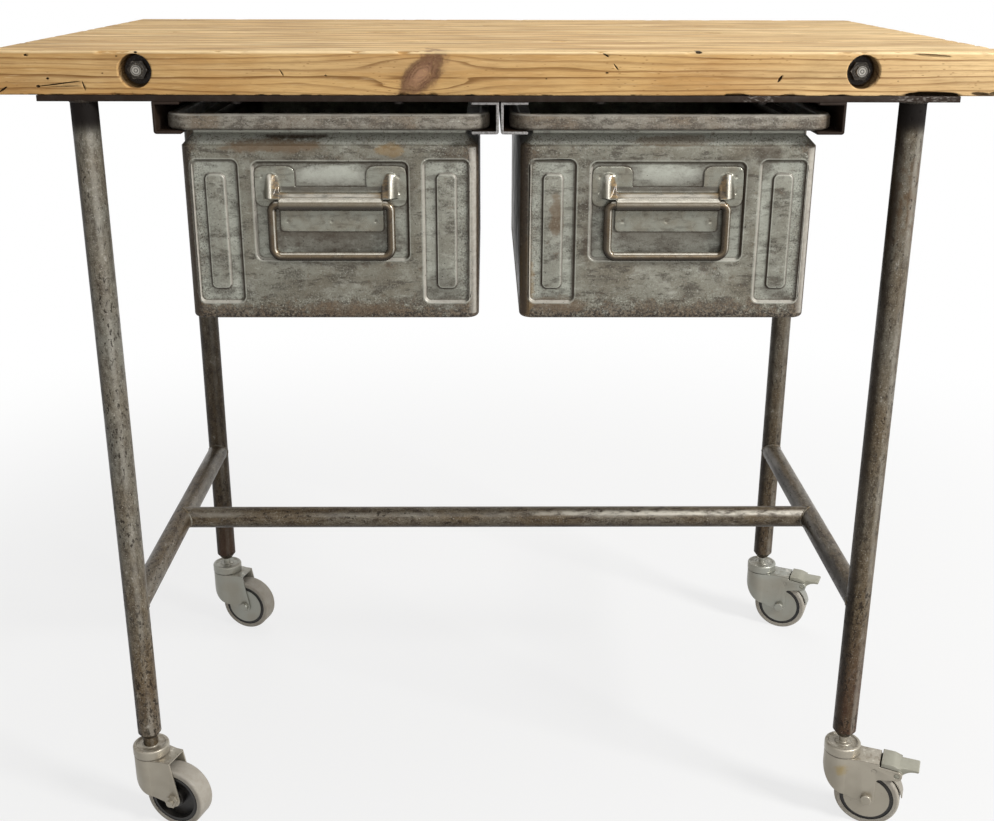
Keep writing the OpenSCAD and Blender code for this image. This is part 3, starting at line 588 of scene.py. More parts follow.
    def _knot_rings(self, sheet: NodeSheet, colour: Shade, knot: Knot) -> Shade:
        """Paints the knot's own rings over the wood."""
        along, above = turned(sheet.x - knot.x, sheet.z - knot.z, knot.tilt)
        ragged = (sheet.noise(13, detail=3, rough=0.60, shift=4) - 0.5) * 17
        distance = length(along / knot.stretch, above)
        radius = distance + ragged * (0.12 + 0.88 * distance.rise(0, knot.radius))
        near_front = sheet.y.rise(self.worktop.front + knot.depth, self.worktop.front + knot.depth / 2)
        inside = radius.rise(knot.radius + 4.5, knot.radius - 5.0) * near_front
        rings = (radius / 2.8).fraction()
        faded = sheet.noise(12, detail=3, rough=0.6, shift=29).rise(0.35, 0.60)
        body = sheet.layers(
            Tone.KNOT_RING,
            (radius.rise(knot.radius * 0.62, knot.radius * 0.12) * 0.75, Tone.KNOT_HEART),
            (rings.rise(0.3, 0.8) * rings.rise(1.0, 0.9) * 0.55 * faded, Tone.KNOT_DARK),
            (sheet.noise(2.2, detail=5, rough=0.7).rise(0.52, 0.74) * 0.34, Tone.WOOD_PALE),
        )
        rim = radius.near(knot.radius - 2.0, 0.6, 4.0) * near_front
        cover = 0.62 + 0.55 * sheet.noise(14, detail=4, rough=0.6, shift=21)
        return sheet.layers(colour, (inside * cover, body), (rim * 0.35, Tone.KNOT_DARK))

    def _arris_wear_and_highlight(self, sheet: NodeSheet) -> Shade:
        """Gives the pale line along the upper front arris, rubbed pale and with a painted highlight, from 0
        to 1.
        """
        gap = length(sheet.y - self.worktop.front, sheet.z - self.worktop.top)
        worn = spread(sheet, 20, 0.30, 0.55, stretch=(4, 1, 1), shift=self.shift + 7)
        return gap.rise(3.2, 1.4) * (0.50 + 0.45 * worn)

    def _dirt_and_shade(self, sheet: NodeSheet) -> Shade:
        """Gives painted shade in the pockets, grime and painted shade in the cracks, and dark specks and
        arris, from 0 to 1.
        """
        top, x, y, z = self.worktop, sheet.x, sheet.y, sheet.z
        from_rod = length(abs(x) - top.rod_x, z - top.rod_z)
        # Painted shade inside the rods' pockets, darker deeper in.
        deep = y.rise(top.front + 0.3, top.front + 9) * y.rise(top.back - 0.3, top.back - 9)
        darkening = 0.70 + 0.35 * sheet.noise(5, detail=4, shift=2)
        dirt_and_painted_light = from_rod.rise(top.pocket + 0.6, top.pocket - 0.2) * deep * darkening
        ragged = spread(sheet, 6, 0.54, 0.62, stretch=(2.5, 1, 1), detail=4, shift=self.shift)
        dirt_and_painted_light = dirt_and_painted_light.highest(z.rise(top.bottom + 2.2, top.bottom + 0.4) * ragged * 0.8)
        specks = sheet.cells(13, (1.5, 1, 1), self.shift).rise(0.075, 0.045)
        few = spread(sheet, 60, 0.55, 0.62, shift=self.shift + 11)
        dirt_and_painted_light = dirt_and_painted_light.highest(specks * few * 0.75)
        near_front = y.rise(top.front + 20, top.front + 12)
        # Marks: grime and painted shade in the cracks and hollows, and the specks' own dark colour.
        for mark in self.marks:
            along, above = turned(x - mark.x, z - mark.z, mark.tilt)
            shape = (along / (mark.length / 2)) ** 2 + (above / (mark.width / 2)) ** 2
            dirt_and_painted_light = dirt_and_painted_light.highest(shape.rise(1.5, 0.8) * near_front * mark.dark)
        return dirt_and_painted_light


@dataclass(frozen=True)
class TubeSteel(Finish):
    """Bare steel tube, pitted and browned, more so towards the floor, with painted shade and highlights.

    Attributes:
        brown_low: Height in millimetres at which the tube is brownest.
        brown_high: Height above which it is mostly grey.
        brown: How brown it is all over, from 0 to 1.
        darkening: How dark it is all over, from 0 to 1.
        under: Height of the bar, under which the tube is painted near black as the bar's shadow.
        rust_z: Height of a rusted stretch.
        rust: How rusted that stretch is, from 0 to 1.
        foot: How red the lower end is, from 0 to 1.
        shift: Moves the patterns, so that no two tubes match.
        along: How far the patterns stretch along each axis.
        glint_x: Place to the right of which a painted highlight runs along the upper side, if any.
    """

    brown_low: float
    brown_high: float
    brown: float
    darkening: float
    under: float
    rust_z: float = 0.0
    rust: float = 0.0
    foot: float = 0.0
    shift: float = 0.0
    along: tuple[float, float, float] = (1, 1, 2)
    glint_x: Optional[float] = None

    def build(self) -> bpy.types.Material:
        """Builds the steel.

        Returns:
            The material.
        """
        sheet = NodeSheet(self.name)
        z = sheet.z
        lower = z.rise(self.brown_high, self.brown_low)
        patches = spread(sheet, 40, 0.32, 0.68, stretch=self.along, detail=5, rough=0.6, shift=self.shift)
        grit = sheet.noise(1.7, detail=5, rough=0.72, shift=self.shift)
        mottle = sheet.noise(7, self.along, detail=6, rough=0.7, shift=self.shift + 3)
        pitted = spread(sheet, 30, 0.40, 0.60, stretch=self.along, detail=3, shift=self.shift + 6)
        crumbs = sheet.noise(3.2, self.along, detail=4, rough=0.6, shift=self.shift + 9)
        pits = (crumbs + 0.06 * lower).rise(0.58, 0.63) * (0.35 + 0.65 * pitted)
        glints = sheet.cells(4.2, shift=self.shift + 5).rise(0.12, 0.05)
        # Painted shadow of the bar: near black on the stretch of tube just under it.
        scale = z.rise(self.under - 38, self.under - 16)
        rusted = z.near(self.rust_z, 18, 50) * mottle.rise(0.42, 0.58) * self.rust
        red = z.rise(self.brown_low + 130, self.brown_low - 20) * (0.35 + 0.65 * patches) * self.foot
        sideways, backwards, upwards = sheet.split(sheet.facing)
        # Painted shade on the left side, away from the light.
        shaded = sideways.rise(-0.42, -0.80) * backwards.rise(0.55, 0.0)
        # Painted highlight along the upper side and the right side, where the light falls.
        flank_highlight = sideways.near(0.42, 0.06, 0.24) * upwards.near(0.0, 0.1, 0.1)
        rubbed = upwards.near(0.62, 0.06, 0.22).highest(flank_highlight)
        # One dark layer: real pits, the painted shadow under the bar, and an overall darkening that is
        # painted shade, strongest on the rear legs.
        dark = (pits * 0.85).highest(scale).highest(self.darkening * (0.75 + 0.25 * mottle))
        colour = sheet.layers(
            Tone.STEEL_GREY,
            (lower * 0.65 + self.brown + 0.6 * patches - 0.3, Tone.STEEL_BROWN),
            (mottle.rise(0.42, 0.26) * 0.60, Tone.STEEL_LIGHT),
            (mottle.rise(0.48, 0.60) * (0.40 + 0.45 * self.brown), Tone.RUST_DARK),
            (grit.rise(0.52, 0.70) * 0.38, Tone.STEEL_LIGHT),
            (grit.rise(0.46, 0.32) * 0.55, Tone.STEEL_PIT),
            (glints * 0.6, Tone.STEEL_BRIGHT),
            (rusted * 0.85, Tone.RUST_BROWN),
            (red, Tone.RUST_RED),
            # Painted shade on the underside.
            (upwards.rise(-0.15, -0.8) * 0.65, Tone.STEEL_PIT),
            (shaded * (0.58 + 0.33 * patches), Tone.STEEL_PIT),
            # The painted highlight, broken up by the patches.
            (rubbed * (1 - 0.8 * patches) * 0.30, Tone.STEEL_LIGHT),
            (dark, Tone.STEEL_PIT),
            (scale, Tone.MILL_SCALE),
        )
        if self.glint_x is not None:
            # Painted highlight along the upper side of the tube, right of that place.
            highlight_band = upwards.near(0.72, 0.05, 0.20) * sheet.x.rise(self.glint_x, self.glint_x + 160)
            colour = sheet.layers(colour, (highlight_band * mottle.rise(0.66, 0.42) * 0.75, Tone.STEEL_BRIGHT))
        bare = (0.34 - 0.30 * rusted) * (1.0 - dark)
        rough = 0.30 + 0.14 * patches + 0.2 * pits + 0.45 * scale
        return sheet.finish(colour, rough, 0.14 * grit - 0.35 * pits, bare, specular=0.16)


@dataclass(frozen=True)
class CrateSheet(Finish):
    """Bare crate sheet: grey-green in the pressings, browner between them, pitted at the edges.

    Attributes:
        x: Middle of the crate, left to right, in millimetres.
        half: Half the width of its body.
        front: Its front face.
        bottom: Its underside.
        shoulder: Height of the shoulder's lower edge.
        rim: Height of the rim's lower edge.
        pressings: The pressings in its front.
        seams: The outlines of what is welded to its front.
        stains: Patches of other colours on its front.
        shift: Moves the patterns, so that the two crates differ.
    """

    x: float
    half: float
    front: float
    bottom: float
    shoulder: float
    rim: float
    pressings: tuple[Pressing, ...]
    seams: tuple[Pressing, ...]
    stains: tuple[Stain, ...]
    shift: float

    def build(self) -> bpy.types.Material:
        """Builds the sheet metal.

        Returns:
            The material.
        """
        sheet, shift = NodeSheet(self.name), self.shift
        x, y, z = sheet.x, sheet.y, sheet.z
        at_front = y.rise(self.front + 12, self.front + 9)
        inside, crest_wear_and_highlight, corner = self._pressed(x, z, at_front)
        seam = self._plate_grime_and_shadow(x, z, at_front)
        clouds = spread(sheet, 46, 0.38, 0.62, detail=6, rough=0.62, shift=shift)
        grit = sheet.noise(1.8, detail=5, rough=0.72, shift=shift)
        smear = sheet.noise(9, (3.2, 3.2, 1), detail=7, rough=0.72, shift=shift + 3)
        blooms = spread(sheet, 20, 0.52, 0.66, stretch=(1.3, 1.3, 1), detail=7, rough=0.7, shift=shift + 31)
        smudges = spread(sheet, 17, 0.50, 0.66, stretch=(1.8, 1, 1), detail=7, rough=0.68, shift=shift + 37)
        crumbs = sheet.noise(2.6, detail=5, rough=0.72, shift=shift + 9)
        rubbed = sheet.noise(5, detail=5, rough=0.65, shift=shift + 13)
        pits = sheet.cells(7, shift=shift).rise(0.11, 0.05)
        marked = 0.55 + 0.45 * at_front
        on_shoulder = z.rise(self.shoulder + 1, self.shoulder + 3)
        worn = self._border(x, z, 34, 4, 6).highest(smudges * 0.5).highest(on_shoulder * 0.6) * at_front
        hem = self._border(x, z, 15, 2, 2) * at_front * z.rise(self.shoulder + 2, self.shoulder - 2)
        rust = self._rust(sheet, x, z, at_front) * (1 - 0.55 * inside)
        flakes = sheet.layers(Tone.RUST_DARK, (crumbs.rise(0.42, 0.62), Tone.RUST_BROWN))
        sideways, _, upwards = sheet.split(sheet.facing)
        # Painted shade on faces that turn to the sides.
        side_shade = abs(sideways).rise(0.25, 0.75) * z.rise(self.rim, self.rim - 2)
        # Painted light and shade: lighter on faces turned up and right, towards the light, darker turned
        # away.
        lean = (0.7 * sideways + 0.7 * upwards) * at_front * z.rise(self.shoulder, self.shoulder - 2)
        lean = lean * abs(x - self.x).rise(self.half - 1, self.half - 4)
        lean = lean * z.rise(self.bottom + 3, self.bottom + 6)
        colour = sheet.layers(
            Tone.CRATE_WARM,
            (0.12 + 0.36 * clouds + 0.56 * inside, Tone.CRATE_GREEN),
            (blooms * 0.22 + inside * 0.14, Tone.CRATE_LIGHT),
            (smear.rise(0.52, 0.61) * (0.78 - 0.30 * inside) * marked, Tone.CRATE_DARK),
            (smear.rise(0.43, 0.33) * 0.30, Tone.CRATE_LIGHT),
            (smudges * marked * 0.60, Tone.CRATE_DARK),
            # Painted light on the shoulder, against the rim's shadow.
            (on_shoulder * 0.62, Tone.CRATE_LIGHT),
            (grit.rise(0.54, 0.70) * 0.28, Tone.CRATE_LIGHT),
            (grit.rise(0.46, 0.34) * 0.42, Tone.CRATE_DARK),
            (grit.rise(0.49, 0.37) * worn, Tone.STEEL_PIT),
            (grit.rise(0.55, 0.68) * worn * 0.8, Tone.CRATE_LIGHT),
            (rust * 0.65, flakes),
            (hem * crumbs.rise(0.52, 0.44), Tone.STEEL_PIT),
            *(self._stain(sheet, stain, at_front) for stain in self.stains),
            # Grime and painted shadow round the handle plate.
            (seam * (0.35 + 0.8 * rubbed), Tone.RUST_DARK),
            # Grime and painted shade in the pressings' corners, then wear and painted highlights along their
            # edges.
            (corner * (0.10 + 0.8 * rubbed), Tone.RUST_DARK),
            (crest_wear_and_highlight * (0.10 + 0.45 * rubbed), Tone.CRATE_LIGHT),
            (side_shade * (0.42 + 0.5 * rubbed), Tone.RUST_DARK),
            # Painted highlight and painted shade on the pressings' slopes, by how they face the light.
            (lean.rise(0.14, 0.50) * (0.25 + 0.75 * rubbed), Tone.STEEL_LIGHT),
            (lean.rise(-0.14, -0.50) * 0.70, Tone.RUST_DARK),
            (z.rise(self.rim - 1.5, self.rim + 0.5) * 0.92, self._rim(sheet, upwards, grit)),
            (pits * 0.8, Tone.STEEL_PIT),
        )
        height = 0.10 * grit - 0.15 * pits - 0.06 * rust
        rough = 0.36 + 0.12 * clouds + 0.2 * rust
        return sheet.finish(colour, rough, height, 0.30 - 0.26 * rust, specular=0.35)

    def _border(self, x: Shade, z: Shade, width: float, side: float, low: float) -> Shade:
        """Gives a strip along the body's upright edges and its bottom.

        Args:
            x: Place from left to right.
            z: Height above the floor.
            width: Width of the strip.
            side: Distance from the upright edges where it is full.
            low: Distance from the bottom where it is full.

        Returns:
            The strip, from 0 to 1.
        """
        upright = abs(x - self.x).rise(self.half - width, self.half - side)
        return upright.highest(z.rise(self.bottom + width, self.bottom + low))

    def _plate_grime_and_shadow(self, x: Shade, z: Shade, at_front: Shade) -> Shade:
        """Gives the grime round the welded handle plate and the painted shadow that it casts, from 0 to 1."""
        dirt_and_painted_light = at_front * 0.0
        for seam in self.seams:
            gap = seam.gap(x, z)
            dirt_and_painted_light = dirt_and_painted_light.highest(gap.rise(2.4, 0.6)).highest(gap.rise(15, 0.0) * 0.55)
        return dirt_and_painted_light * at_front

    def _pressed(self, x: Shade, z: Shade, at_front: Shade) -> tuple[Shade, ...]:
        """Reads the pressings off their outlines.

        Args:
            x: Place from left to right.
            z: Height above the floor.
            at_front: 1 on the front wall.

        Returns:
            The panels, edge lines of wear and painted highlight, corner lines of grime and painted shade.
        """
        inside = crest_wear_and_highlight = corner = at_front * 0.0
        for pressing in self.pressings:
            gap = pressing.gap(x, z)
            if pressing.slope > 0:
                inside = inside.highest(gap.rise(0.4, -1.0))
            else:
                inside = inside * (0.45 + 0.55 * gap.rise(-1.0, 0.4))
            crest_wear_and_highlight = crest_wear_and_highlight.highest(gap.near(0.5 if pressing.slope > 0 else -1.4, 0.4, 0.9))
            corner = corner.highest(gap.near(-pressing.slope - 0.7, 0.3, 1.0))
        return inside * at_front, crest_wear_and_highlight * at_front, corner * at_front

    def _rust(self, sheet: NodeSheet, x: Shade, z: Shade, at_front: Shade) -> Shade:
        """Gives the rust along the upright edges, along the bottom and in loose patches."""
        edge = abs(x - self.x).rise(self.half - 26, self.half - 1) * at_front
        low = z.rise(self.bottom + 30, self.bottom + 3)
        mottle = sheet.noise(12, detail=7, rough=0.74, shift=self.shift + 12)
        loose = sheet.noise(34, (0.8, 1, 1.5), detail=7, rough=0.7, shift=self.shift + 17)
        lean = 0.22 * edge + 0.20 * low
        return (mottle + lean).rise(0.56, 0.68).highest(loose.rise(0.56, 0.68) * 0.45)

    @staticmethod
    def _stain(sheet: NodeSheet, stain: Stain, at_front: Shade) -> tuple[Shade, Tone]:
        """Gives the mask and the colour of one ragged patch."""
        ragged = (sheet.noise(9, (1.6, 1, 1), detail=6, rough=0.7, shift=stain.x / 7) - 0.5) * 2.4
        across, up = (sheet.x - stain.x) * (2 / stain.width), (sheet.z - stain.z) * (2 / stain.height)
        broken = 0.45 + 0.9 * sheet.noise(3, detail=5, rough=0.7, shift=stain.z / 9)
        mask = (length(across, up) + ragged).rise(1.3, 0.75) * broken * at_front * stain.strength
        return mask, stain.tone

    def _rim(self, sheet: NodeSheet, upwards: Shade, grit: Shade) -> Shade:
        """Mottles the rolled rim with light metal and brown scale, painted light on top and painted shade
        below.
        """
        patch = sheet.noise(6, (2.4, 2.4, 1), detail=7, rough=0.74, shift=self.shift + 27)
        broad = spread(sheet, 50, 0.40, 0.62, detail=4, shift=self.shift + 29)
        return sheet.layers(
            Tone.RIM_STEEL,
            (0.20 + 0.6 * broad, Tone.RUST_BROWN),
            (patch.rise(0.44, 0.58) * 0.75, Tone.RUST_DARK),
            (patch.rise(0.38, 0.28) * 0.6, Tone.CRATE_LIGHT),
            (grit.rise(0.52, 0.74) * 0.45, Tone.CRATE_LIGHT),
            (grit.rise(0.46, 0.28) * 0.45, Tone.STEEL_PIT),
            (upwards.rise(0.45, 0.75) * upwards.rise(0.99, 0.9) * 0.5, Tone.STEEL_LIGHT),
            (upwards.rise(-0.2, -0.8) * 0.6, Tone.STEEL_PIT),
        )


@dataclass(frozen=True)
class HandleSteel(Finish):
    """Worn pressed steel: rubbed by hands, with painted highlights and painted shade, gold and brown in the
    hollows.

    Attributes:
        shift: Moves the patterns, so that two handles differ.
        warm: How brown it is all over, from 0 to 1.
        shine: How metallic it is, from 0 to 1.
        face: Place of the plate's flat face, or nothing where there is no flat, in millimetres.
        middle: Middle of the plate, left to right.
        ear_x: Distance of its ears from that middle.
        cove_z: Height at which its cove starts.
    """

    shift: float
    warm: float
    shine: float
    face: Optional[float] = None
    middle: float = 0.0
    ear_x: float = 0.0
    cove_z: float = 0.0

    def build(self) -> bpy.types.Material:
        """Builds the steel.

        Returns:
            The material.
        """
        sheet = NodeSheet(self.name)
        sideways, forwards, upwards = sheet.split(sheet.facing)
        patches = spread(sheet, 20, 0.36, 0.66, detail=5, rough=0.6, shift=self.shift)
        grit = sheet.noise(1.5, detail=5, rough=0.7, shift=self.shift)
        dirt_and_painted_light = sheet.noise(7, detail=6, rough=0.7, shift=self.shift + 4)
        colour = sheet.layers(
            Tone.CRATE_GREEN,
            (self.warm + 0.4 * patches, Tone.STEEL_BROWN),
            (dirt_and_painted_light.rise(0.50, 0.66) * (0.35 + 0.3 * self.warm), Tone.RUST_DARK),
            (grit.rise(0.54, 0.78) * 0.30, Tone.STEEL_LIGHT),
        )
        # Painted highlight where the steel faces up and forwards, towards the light; hands also rub there.
        rubbed = (0.80 * upwards - 0.60 * forwards).rise(0.92, 0.99)
        if self.face is None:
            standing, soiled = 1.0, 0.0
            # Painted shade on the bail's left side, and a painted highlight down its right side.
            colour = sheet.layers(colour, (sideways.rise(0.1, -0.6) * 0.6, Tone.STEEL_PIT))
            rubbed = rubbed.highest(sideways.near(0.55, 0.05, 0.18) * upwards.near(0.0, 0.2, 0.2))
        else:
            colour, standing, soiled = self._drawn(sheet, colour)
        # Painted shade on the undersides of what stands out.
        underside_shade = upwards.rise(0.25, -0.40) * standing
        colour = sheet.layers(colour, (rubbed * standing * (0.25 + 0.9 * dirt_and_painted_light), Tone.STEEL_BRIGHT),
                              (underside_shade * 0.85, Tone.STEEL_PIT))
        rough = 0.20 + 0.12 * patches + 0.15 * dirt_and_painted_light.rise(0.5, 0.7)
        return sheet.finish(colour, rough, 0.06 * grit, self.shine * (1.0 - 0.7 * soiled), specular=0.4)

    def _drawn(self, sheet: NodeSheet, colour: Shade) -> tuple[Shade, Shade, Shade]:
        """Colours the plate by how far it is drawn out of its flat.

        Args:
            sheet: The node sheet.
            colour: The colour of the flat.

        Returns:
            The colour, 1 on what stands out, where hands rub and the painted highlight and shade go, and 1 on
            what is soiled.
        """
        z, ear_x, cove_z = sheet.z, self.ear_x, self.cove_z
        out, aside = self.face - sheet.y, abs(sheet.x - self.middle)
        streaks = sheet.noise(3.5, (6, 1, 1), detail=6, rough=0.7, shift=self.shift + 8)
        raised = out.rise(0.3, 1.6) * z.rise(cove_z + 0.5, cove_z + 1.8)
        cove = raised * aside.rise(ear_x + 1, ear_x - 4)
        ends = aside.rise(ear_x - 24, ear_x - 6)
        gold = sheet.layers(Tone.RUST_DARK, (streaks.rise(0.40, 0.60), Tone.CRATE_STAIN))
        between = aside.rise(ear_x - 3, ear_x - 14)
        shaded = between * z.rise(cove_z + 4, cove_z + 9) * z.rise(cove_z + 13, cove_z + 11.5)
        # Painted highlight on the cove's upper edge.
        lip_highlight = z.near(cove_z + 3.4, 0.6, 1.6) * cove * (1 - ends)
        # Painted shade in the fold above the barrel.
        crease_shade = z.near(cove_z + 0.8, 0.2, 0.8) * out.rise(3.0, 5.0) * between
        barrel = out.rise(5.0, 7.0) * z.rise(cove_z + 0.6, cove_z - 0.6)
        # Painted highlight on the ears' crowns.
        ridge_highlight = raised * (aside - ear_x).near(0.8, 0.8, 2.4)
        # Painted shade on the ears' outer sides.
        outer = raised * aside.rise(ear_x + 3.5, ear_x + 6)
        plain = out.near(0.0, 0.2, 0.3) * streaks.rise(0.50, 0.66)
        colour = sheet.layers(
            colour,
            (cove * (0.40 + 0.45 * ends), gold),
            (shaded * (0.30 + 0.8 * streaks), Tone.CRATE_DARK),
            (lip_highlight * streaks.rise(0.30, 0.56) * 0.80, Tone.STEEL_LIGHT),
            (crease_shade * 0.80, Tone.RUST_DARK),
            (barrel * (0.45 + 0.5 * streaks), Tone.STEEL_BROWN),
            (ridge_highlight * 0.70, Tone.STEEL_BRIGHT),
            (outer * 0.55, Tone.RUST_DARK),
            # Painted shade on what lies behind the face, round the plate's edges.
            (out.rise(-0.3, -0.8) * 0.85, Tone.RUST_DARK),
            (plain * 0.45, Tone.CRATE_DARK),
        )
        soiled = barrel.highest(cove * (1 - ridge_highlight)).highest(shaded)
        return colour, out.rise(0.6, 3.0) * (1 - cove) * (1 - outer), soiled


@dataclass(frozen=True)
class WornLacquer(Finish):
    """Black lacquer on the bars and rails, rubbed through in places, bare at sawn ends.

    Attributes:
        sawn_y: Place of the sawn front ends, in millimetres.
        rubbed: Middles of the rubbed places along X.
        low: Height of the bars' underside.
    """

    sawn_y: float
    rubbed: tuple[float, ...]
    low: float

    def build(self) -> bpy.types.Material:
        """Builds the lacquer.

        Returns:
            The material.
        """
        sheet = NodeSheet(self.name)
        x, y, z = sheet.x, sheet.y, sheet.z
        film = sheet.noise(14, detail=5, rough=0.6)
        chips = sheet.noise(3.2, (2, 1, 1), detail=5, rough=0.7).rise(0.66, 0.72)
        bare = chips * spread(sheet, 60, 0.55, 0.62, shift=3) * 0.7
        flakes = sheet.noise(2.0, (2.5, 1, 1), detail=5, rough=0.7, shift=5).rise(0.50, 0.60)
        for place in self.rubbed:
            bare = bare.highest(x.near(place, 10, 14) * flakes * z.rise(self.low - 2, self.low))
        sawn = y.near(self.sawn_y, 0.3, 0.15) * z.rise(self.low, self.low - 1.5) * abs(x).rise(120, 100)
        burr = 0.45 + 0.5 * sheet.noise(2, detail=4, rough=0.6).rise(0.35, 0.6)
        colour = sheet.layers(
            Tone.LACQUER,
            (film.rise(0.4, 0.8) * 0.10, Tone.LACQUER_WORN),
            (bare * 0.7, Tone.LACQUER_WORN),
            (sawn * burr, Tone.CUT_EDGE),
        )
        metal = bare.highest(sawn)
        return sheet.finish(colour, 0.42 + 0.2 * film, 0.05 * film - 0.05 * metal, 0.3 * metal, specular=0.12)


@dataclass(frozen=True)
class Zinc(Finish):
    """Satin zinc plating with faint clouds, fine scratches and here and there a yellow stain.

    Attributes:
        shift: Moves the patterns.
        seam: Height in millimetres of the gap between head and fork, painted dark as its shade.
        cool: How far the plating leans to a cool grey, from 0 to 1.
        stain: Place and radius of a yellow stain, in millimetres.
    """

    shift: float
    seam: float
    cool: float = 0.0
    stain: Optional[tuple[float, float, float, float]] = None

    def build(self) -> bpy.types.Material:
        """Builds the plating.

        Returns:
            The material.
        """
        sheet = NodeSheet(self.name)
        clouds = spread(sheet, 40, 0.30, 0.70, detail=2, rough=0.5, shift=self.shift)
        scratches = sheet.noise(0.6, (12, 12, 1), detail=4, rough=0.65, shift=self.shift)
        grime = sheet.noise(4, detail=5, rough=0.7, shift=self.shift + 8).rise(0.60, 0.76)
        colour = sheet.layers(
            Tone.ZINC,
            (self.cool, Tone.ZINC_COOL),
            (clouds * 0.6, Tone.ZINC_DULL),
            (grime * 0.35, Tone.STEEL_BROWN),
        )
        stained = 0.0
        if self.stain is not None:
            *middle, radius = self.stain
            across = length(sheet.x - middle[0], sheet.y - middle[1], sheet.z - middle[2])
            ragged = (sheet.noise(7, detail=5, rough=0.65, shift=self.shift + 5) - 0.5) * 12
            stained = (across + ragged).rise(radius, radius * 0.3)
            colour = sheet.layers(colour, (stained * 0.75, Tone.ZINC_YELLOW))
        _, _, upwards = sheet.split(sheet.facing)
        lying = upwards.rise(0.6, 0.9)
        dust_and_glare = sheet.noise(9, detail=6, rough=0.7, shift=self.shift + 13)
        # Painted shade in the gap between head and fork.
        seam = sheet.z.near(self.seam, 0.5, 0.5) * abs(upwards).rise(0.8, 0.5)
        colour = sheet.layers(
            colour,
            (lying * dust_and_glare.rise(0.50, 0.62) * 0.50, Tone.STEEL_BROWN),
            # Painted glare on the faces that turn up to the light.
            (lying * dust_and_glare.rise(0.44, 0.34) * 0.60, Tone.STEEL_BRIGHT),
            (seam * 0.85, Tone.STEEL_PIT),
        )
        rough = 0.26 + 0.12 * clouds + 0.08 * scratches
        return sheet.finish(colour, rough, 0.02 * scratches, 0.5 - 0.3 * stained)


@dataclass(frozen=True)
class RodSteel(Finish):
    """Steel of the tie rods, nuts, washers and screws.

    Attributes:
        body: Colour of the steel.
        rub: How far it is rubbed bright, from 0 to 1.
        axis: Place of the rods that it turns round, from the middle and above the floor.
        turn: Spacing of the turned rings on its ends, in millimetres.
    """

    body: Tone
    rub: float
    axis: tuple[float, float] = (0.0, 0.0)
    turn: float = 0.0

    def build(self) -> bpy.types.Material:
        """Builds the steel."""
        sheet = NodeSheet(self.name)
        grit = sheet.noise(1.5, detail=5, rough=0.65)
        colour = sheet.layers(self.body, (grit.rise(0.45, 0.75) * self.rub, Tone.STEEL_LIGHT))
        if self.turn:
            ring = (length(abs(sheet.x) - self.axis[0], sheet.z - self.axis[1]) / self.turn).fraction()
            worn = 0.35 + 0.8 * sheet.noise(4, detail=3, rough=0.6, shift=2)
            grooves = ring.rise(0.35, 0.60) * ring.rise(1.0, 0.80) * worn
            colour = sheet.layers(colour, (grooves, Tone.STEEL_PIT))
        return sheet.finish(colour, 0.36 + 0.2 * grit, 0.05 * grit, 0.2 + 0.4 * self.rub,
                            specular=0.2 + 0.4 * self.rub)


@dataclass(frozen=True)
class WeldSteel(Finish):
    """Weld metal, browned where it cooled, and painted near black under the bars as their shadow.

    Attributes:
        under: Height of the bars' underside, in millimetres.
    """

    under: float

    def build(self) -> bpy.types.Material:
        """Builds the weld metal."""
        sheet = NodeSheet(self.name)
        tint = spread(sheet, 10, 0.36, 0.64, detail=5, rough=0.65)
        grit = sheet.noise(1.0, detail=4, rough=0.7)
        colour = sheet.layers(
            Tone.STEEL_GREY,
            (tint, Tone.STEEL_BROWN),
            (grit.rise(0.50, 0.75) * 0.5, Tone.STEEL_LIGHT),
            (grit.rise(0.46, 0.28) * 0.6, Tone.STEEL_PIT),
            # Painted shadow of the bars.
            (sheet.z.rise(self.under - 34, self.under - 16) * 0.95, Tone.STEEL_PIT),
        )
        return sheet.finish(colour, 0.42 + 0.2 * tint, 0.10 * grit, 0.15, specular=0.2)


@dataclass(frozen=True)
class Moulding(Finish):
    """Moulded rubber or plastic, evenly coloured with a dusty bloom.

    Attributes:
        body: Colour of the material.
        dust: Colour of the dust.
        amount: How much dust there is, from 0 to 1.
        rough: Roughness.
        grain: Height of the surface grain, in millimetres.
    """

    body: Tone
    dust: Tone
    amount: float
    rough: float
    grain: float

    def build(self) -> bpy.types.Material:
        """Builds the moulding.

        Returns:
            The material.
        """
        sheet = NodeSheet(self.name)
        bloom = spread(sheet, 12, 0.35, 0.70, detail=6, rough=0.65)
        fine = sheet.noise(0.8, detail=4, rough=0.65)
        colour = sheet.layers(self.body, (bloom * self.amount, self.dust),
                              (fine.rise(0.52, 0.75) * self.amount * 0.5, self.dust))
        return sheet.finish(colour, self.rough + 0.12 * bloom, self.grain * fine, specular=0.4)


def shrunk(point: Vector, sizes: Triple) -> Vector:
    """Divides a point by a size along each axis."""
    return Vector([part / size for part, size in zip(point, sizes)])


def box_mm(node: str) -> tuple[Vector, Vector]:
    """Gives a node's lowest and highest corner in millimetres."""
    low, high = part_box(node)
    return low / MM, high / MM


def deselect() -> None:
    """Leaves nothing selected and nothing active."""
    for piece in bpy.context.selected_objects:
        piece.select_set(False)
    bpy.context.view_layer.objects.active = None


def choose(piece: bpy.types.Object) -> None:
    """Selects one object alone and makes it active."""
    deselect()
    piece.select_set(True)
    bpy.context.view_layer.objects.active = piece


def settle(piece: bpy.types.Object) -> None:
    """Puts the object's place, turn and size into its mesh."""
    choose(piece)
    bpy.ops.object.transform_apply(location=True, rotation=True, scale=True)


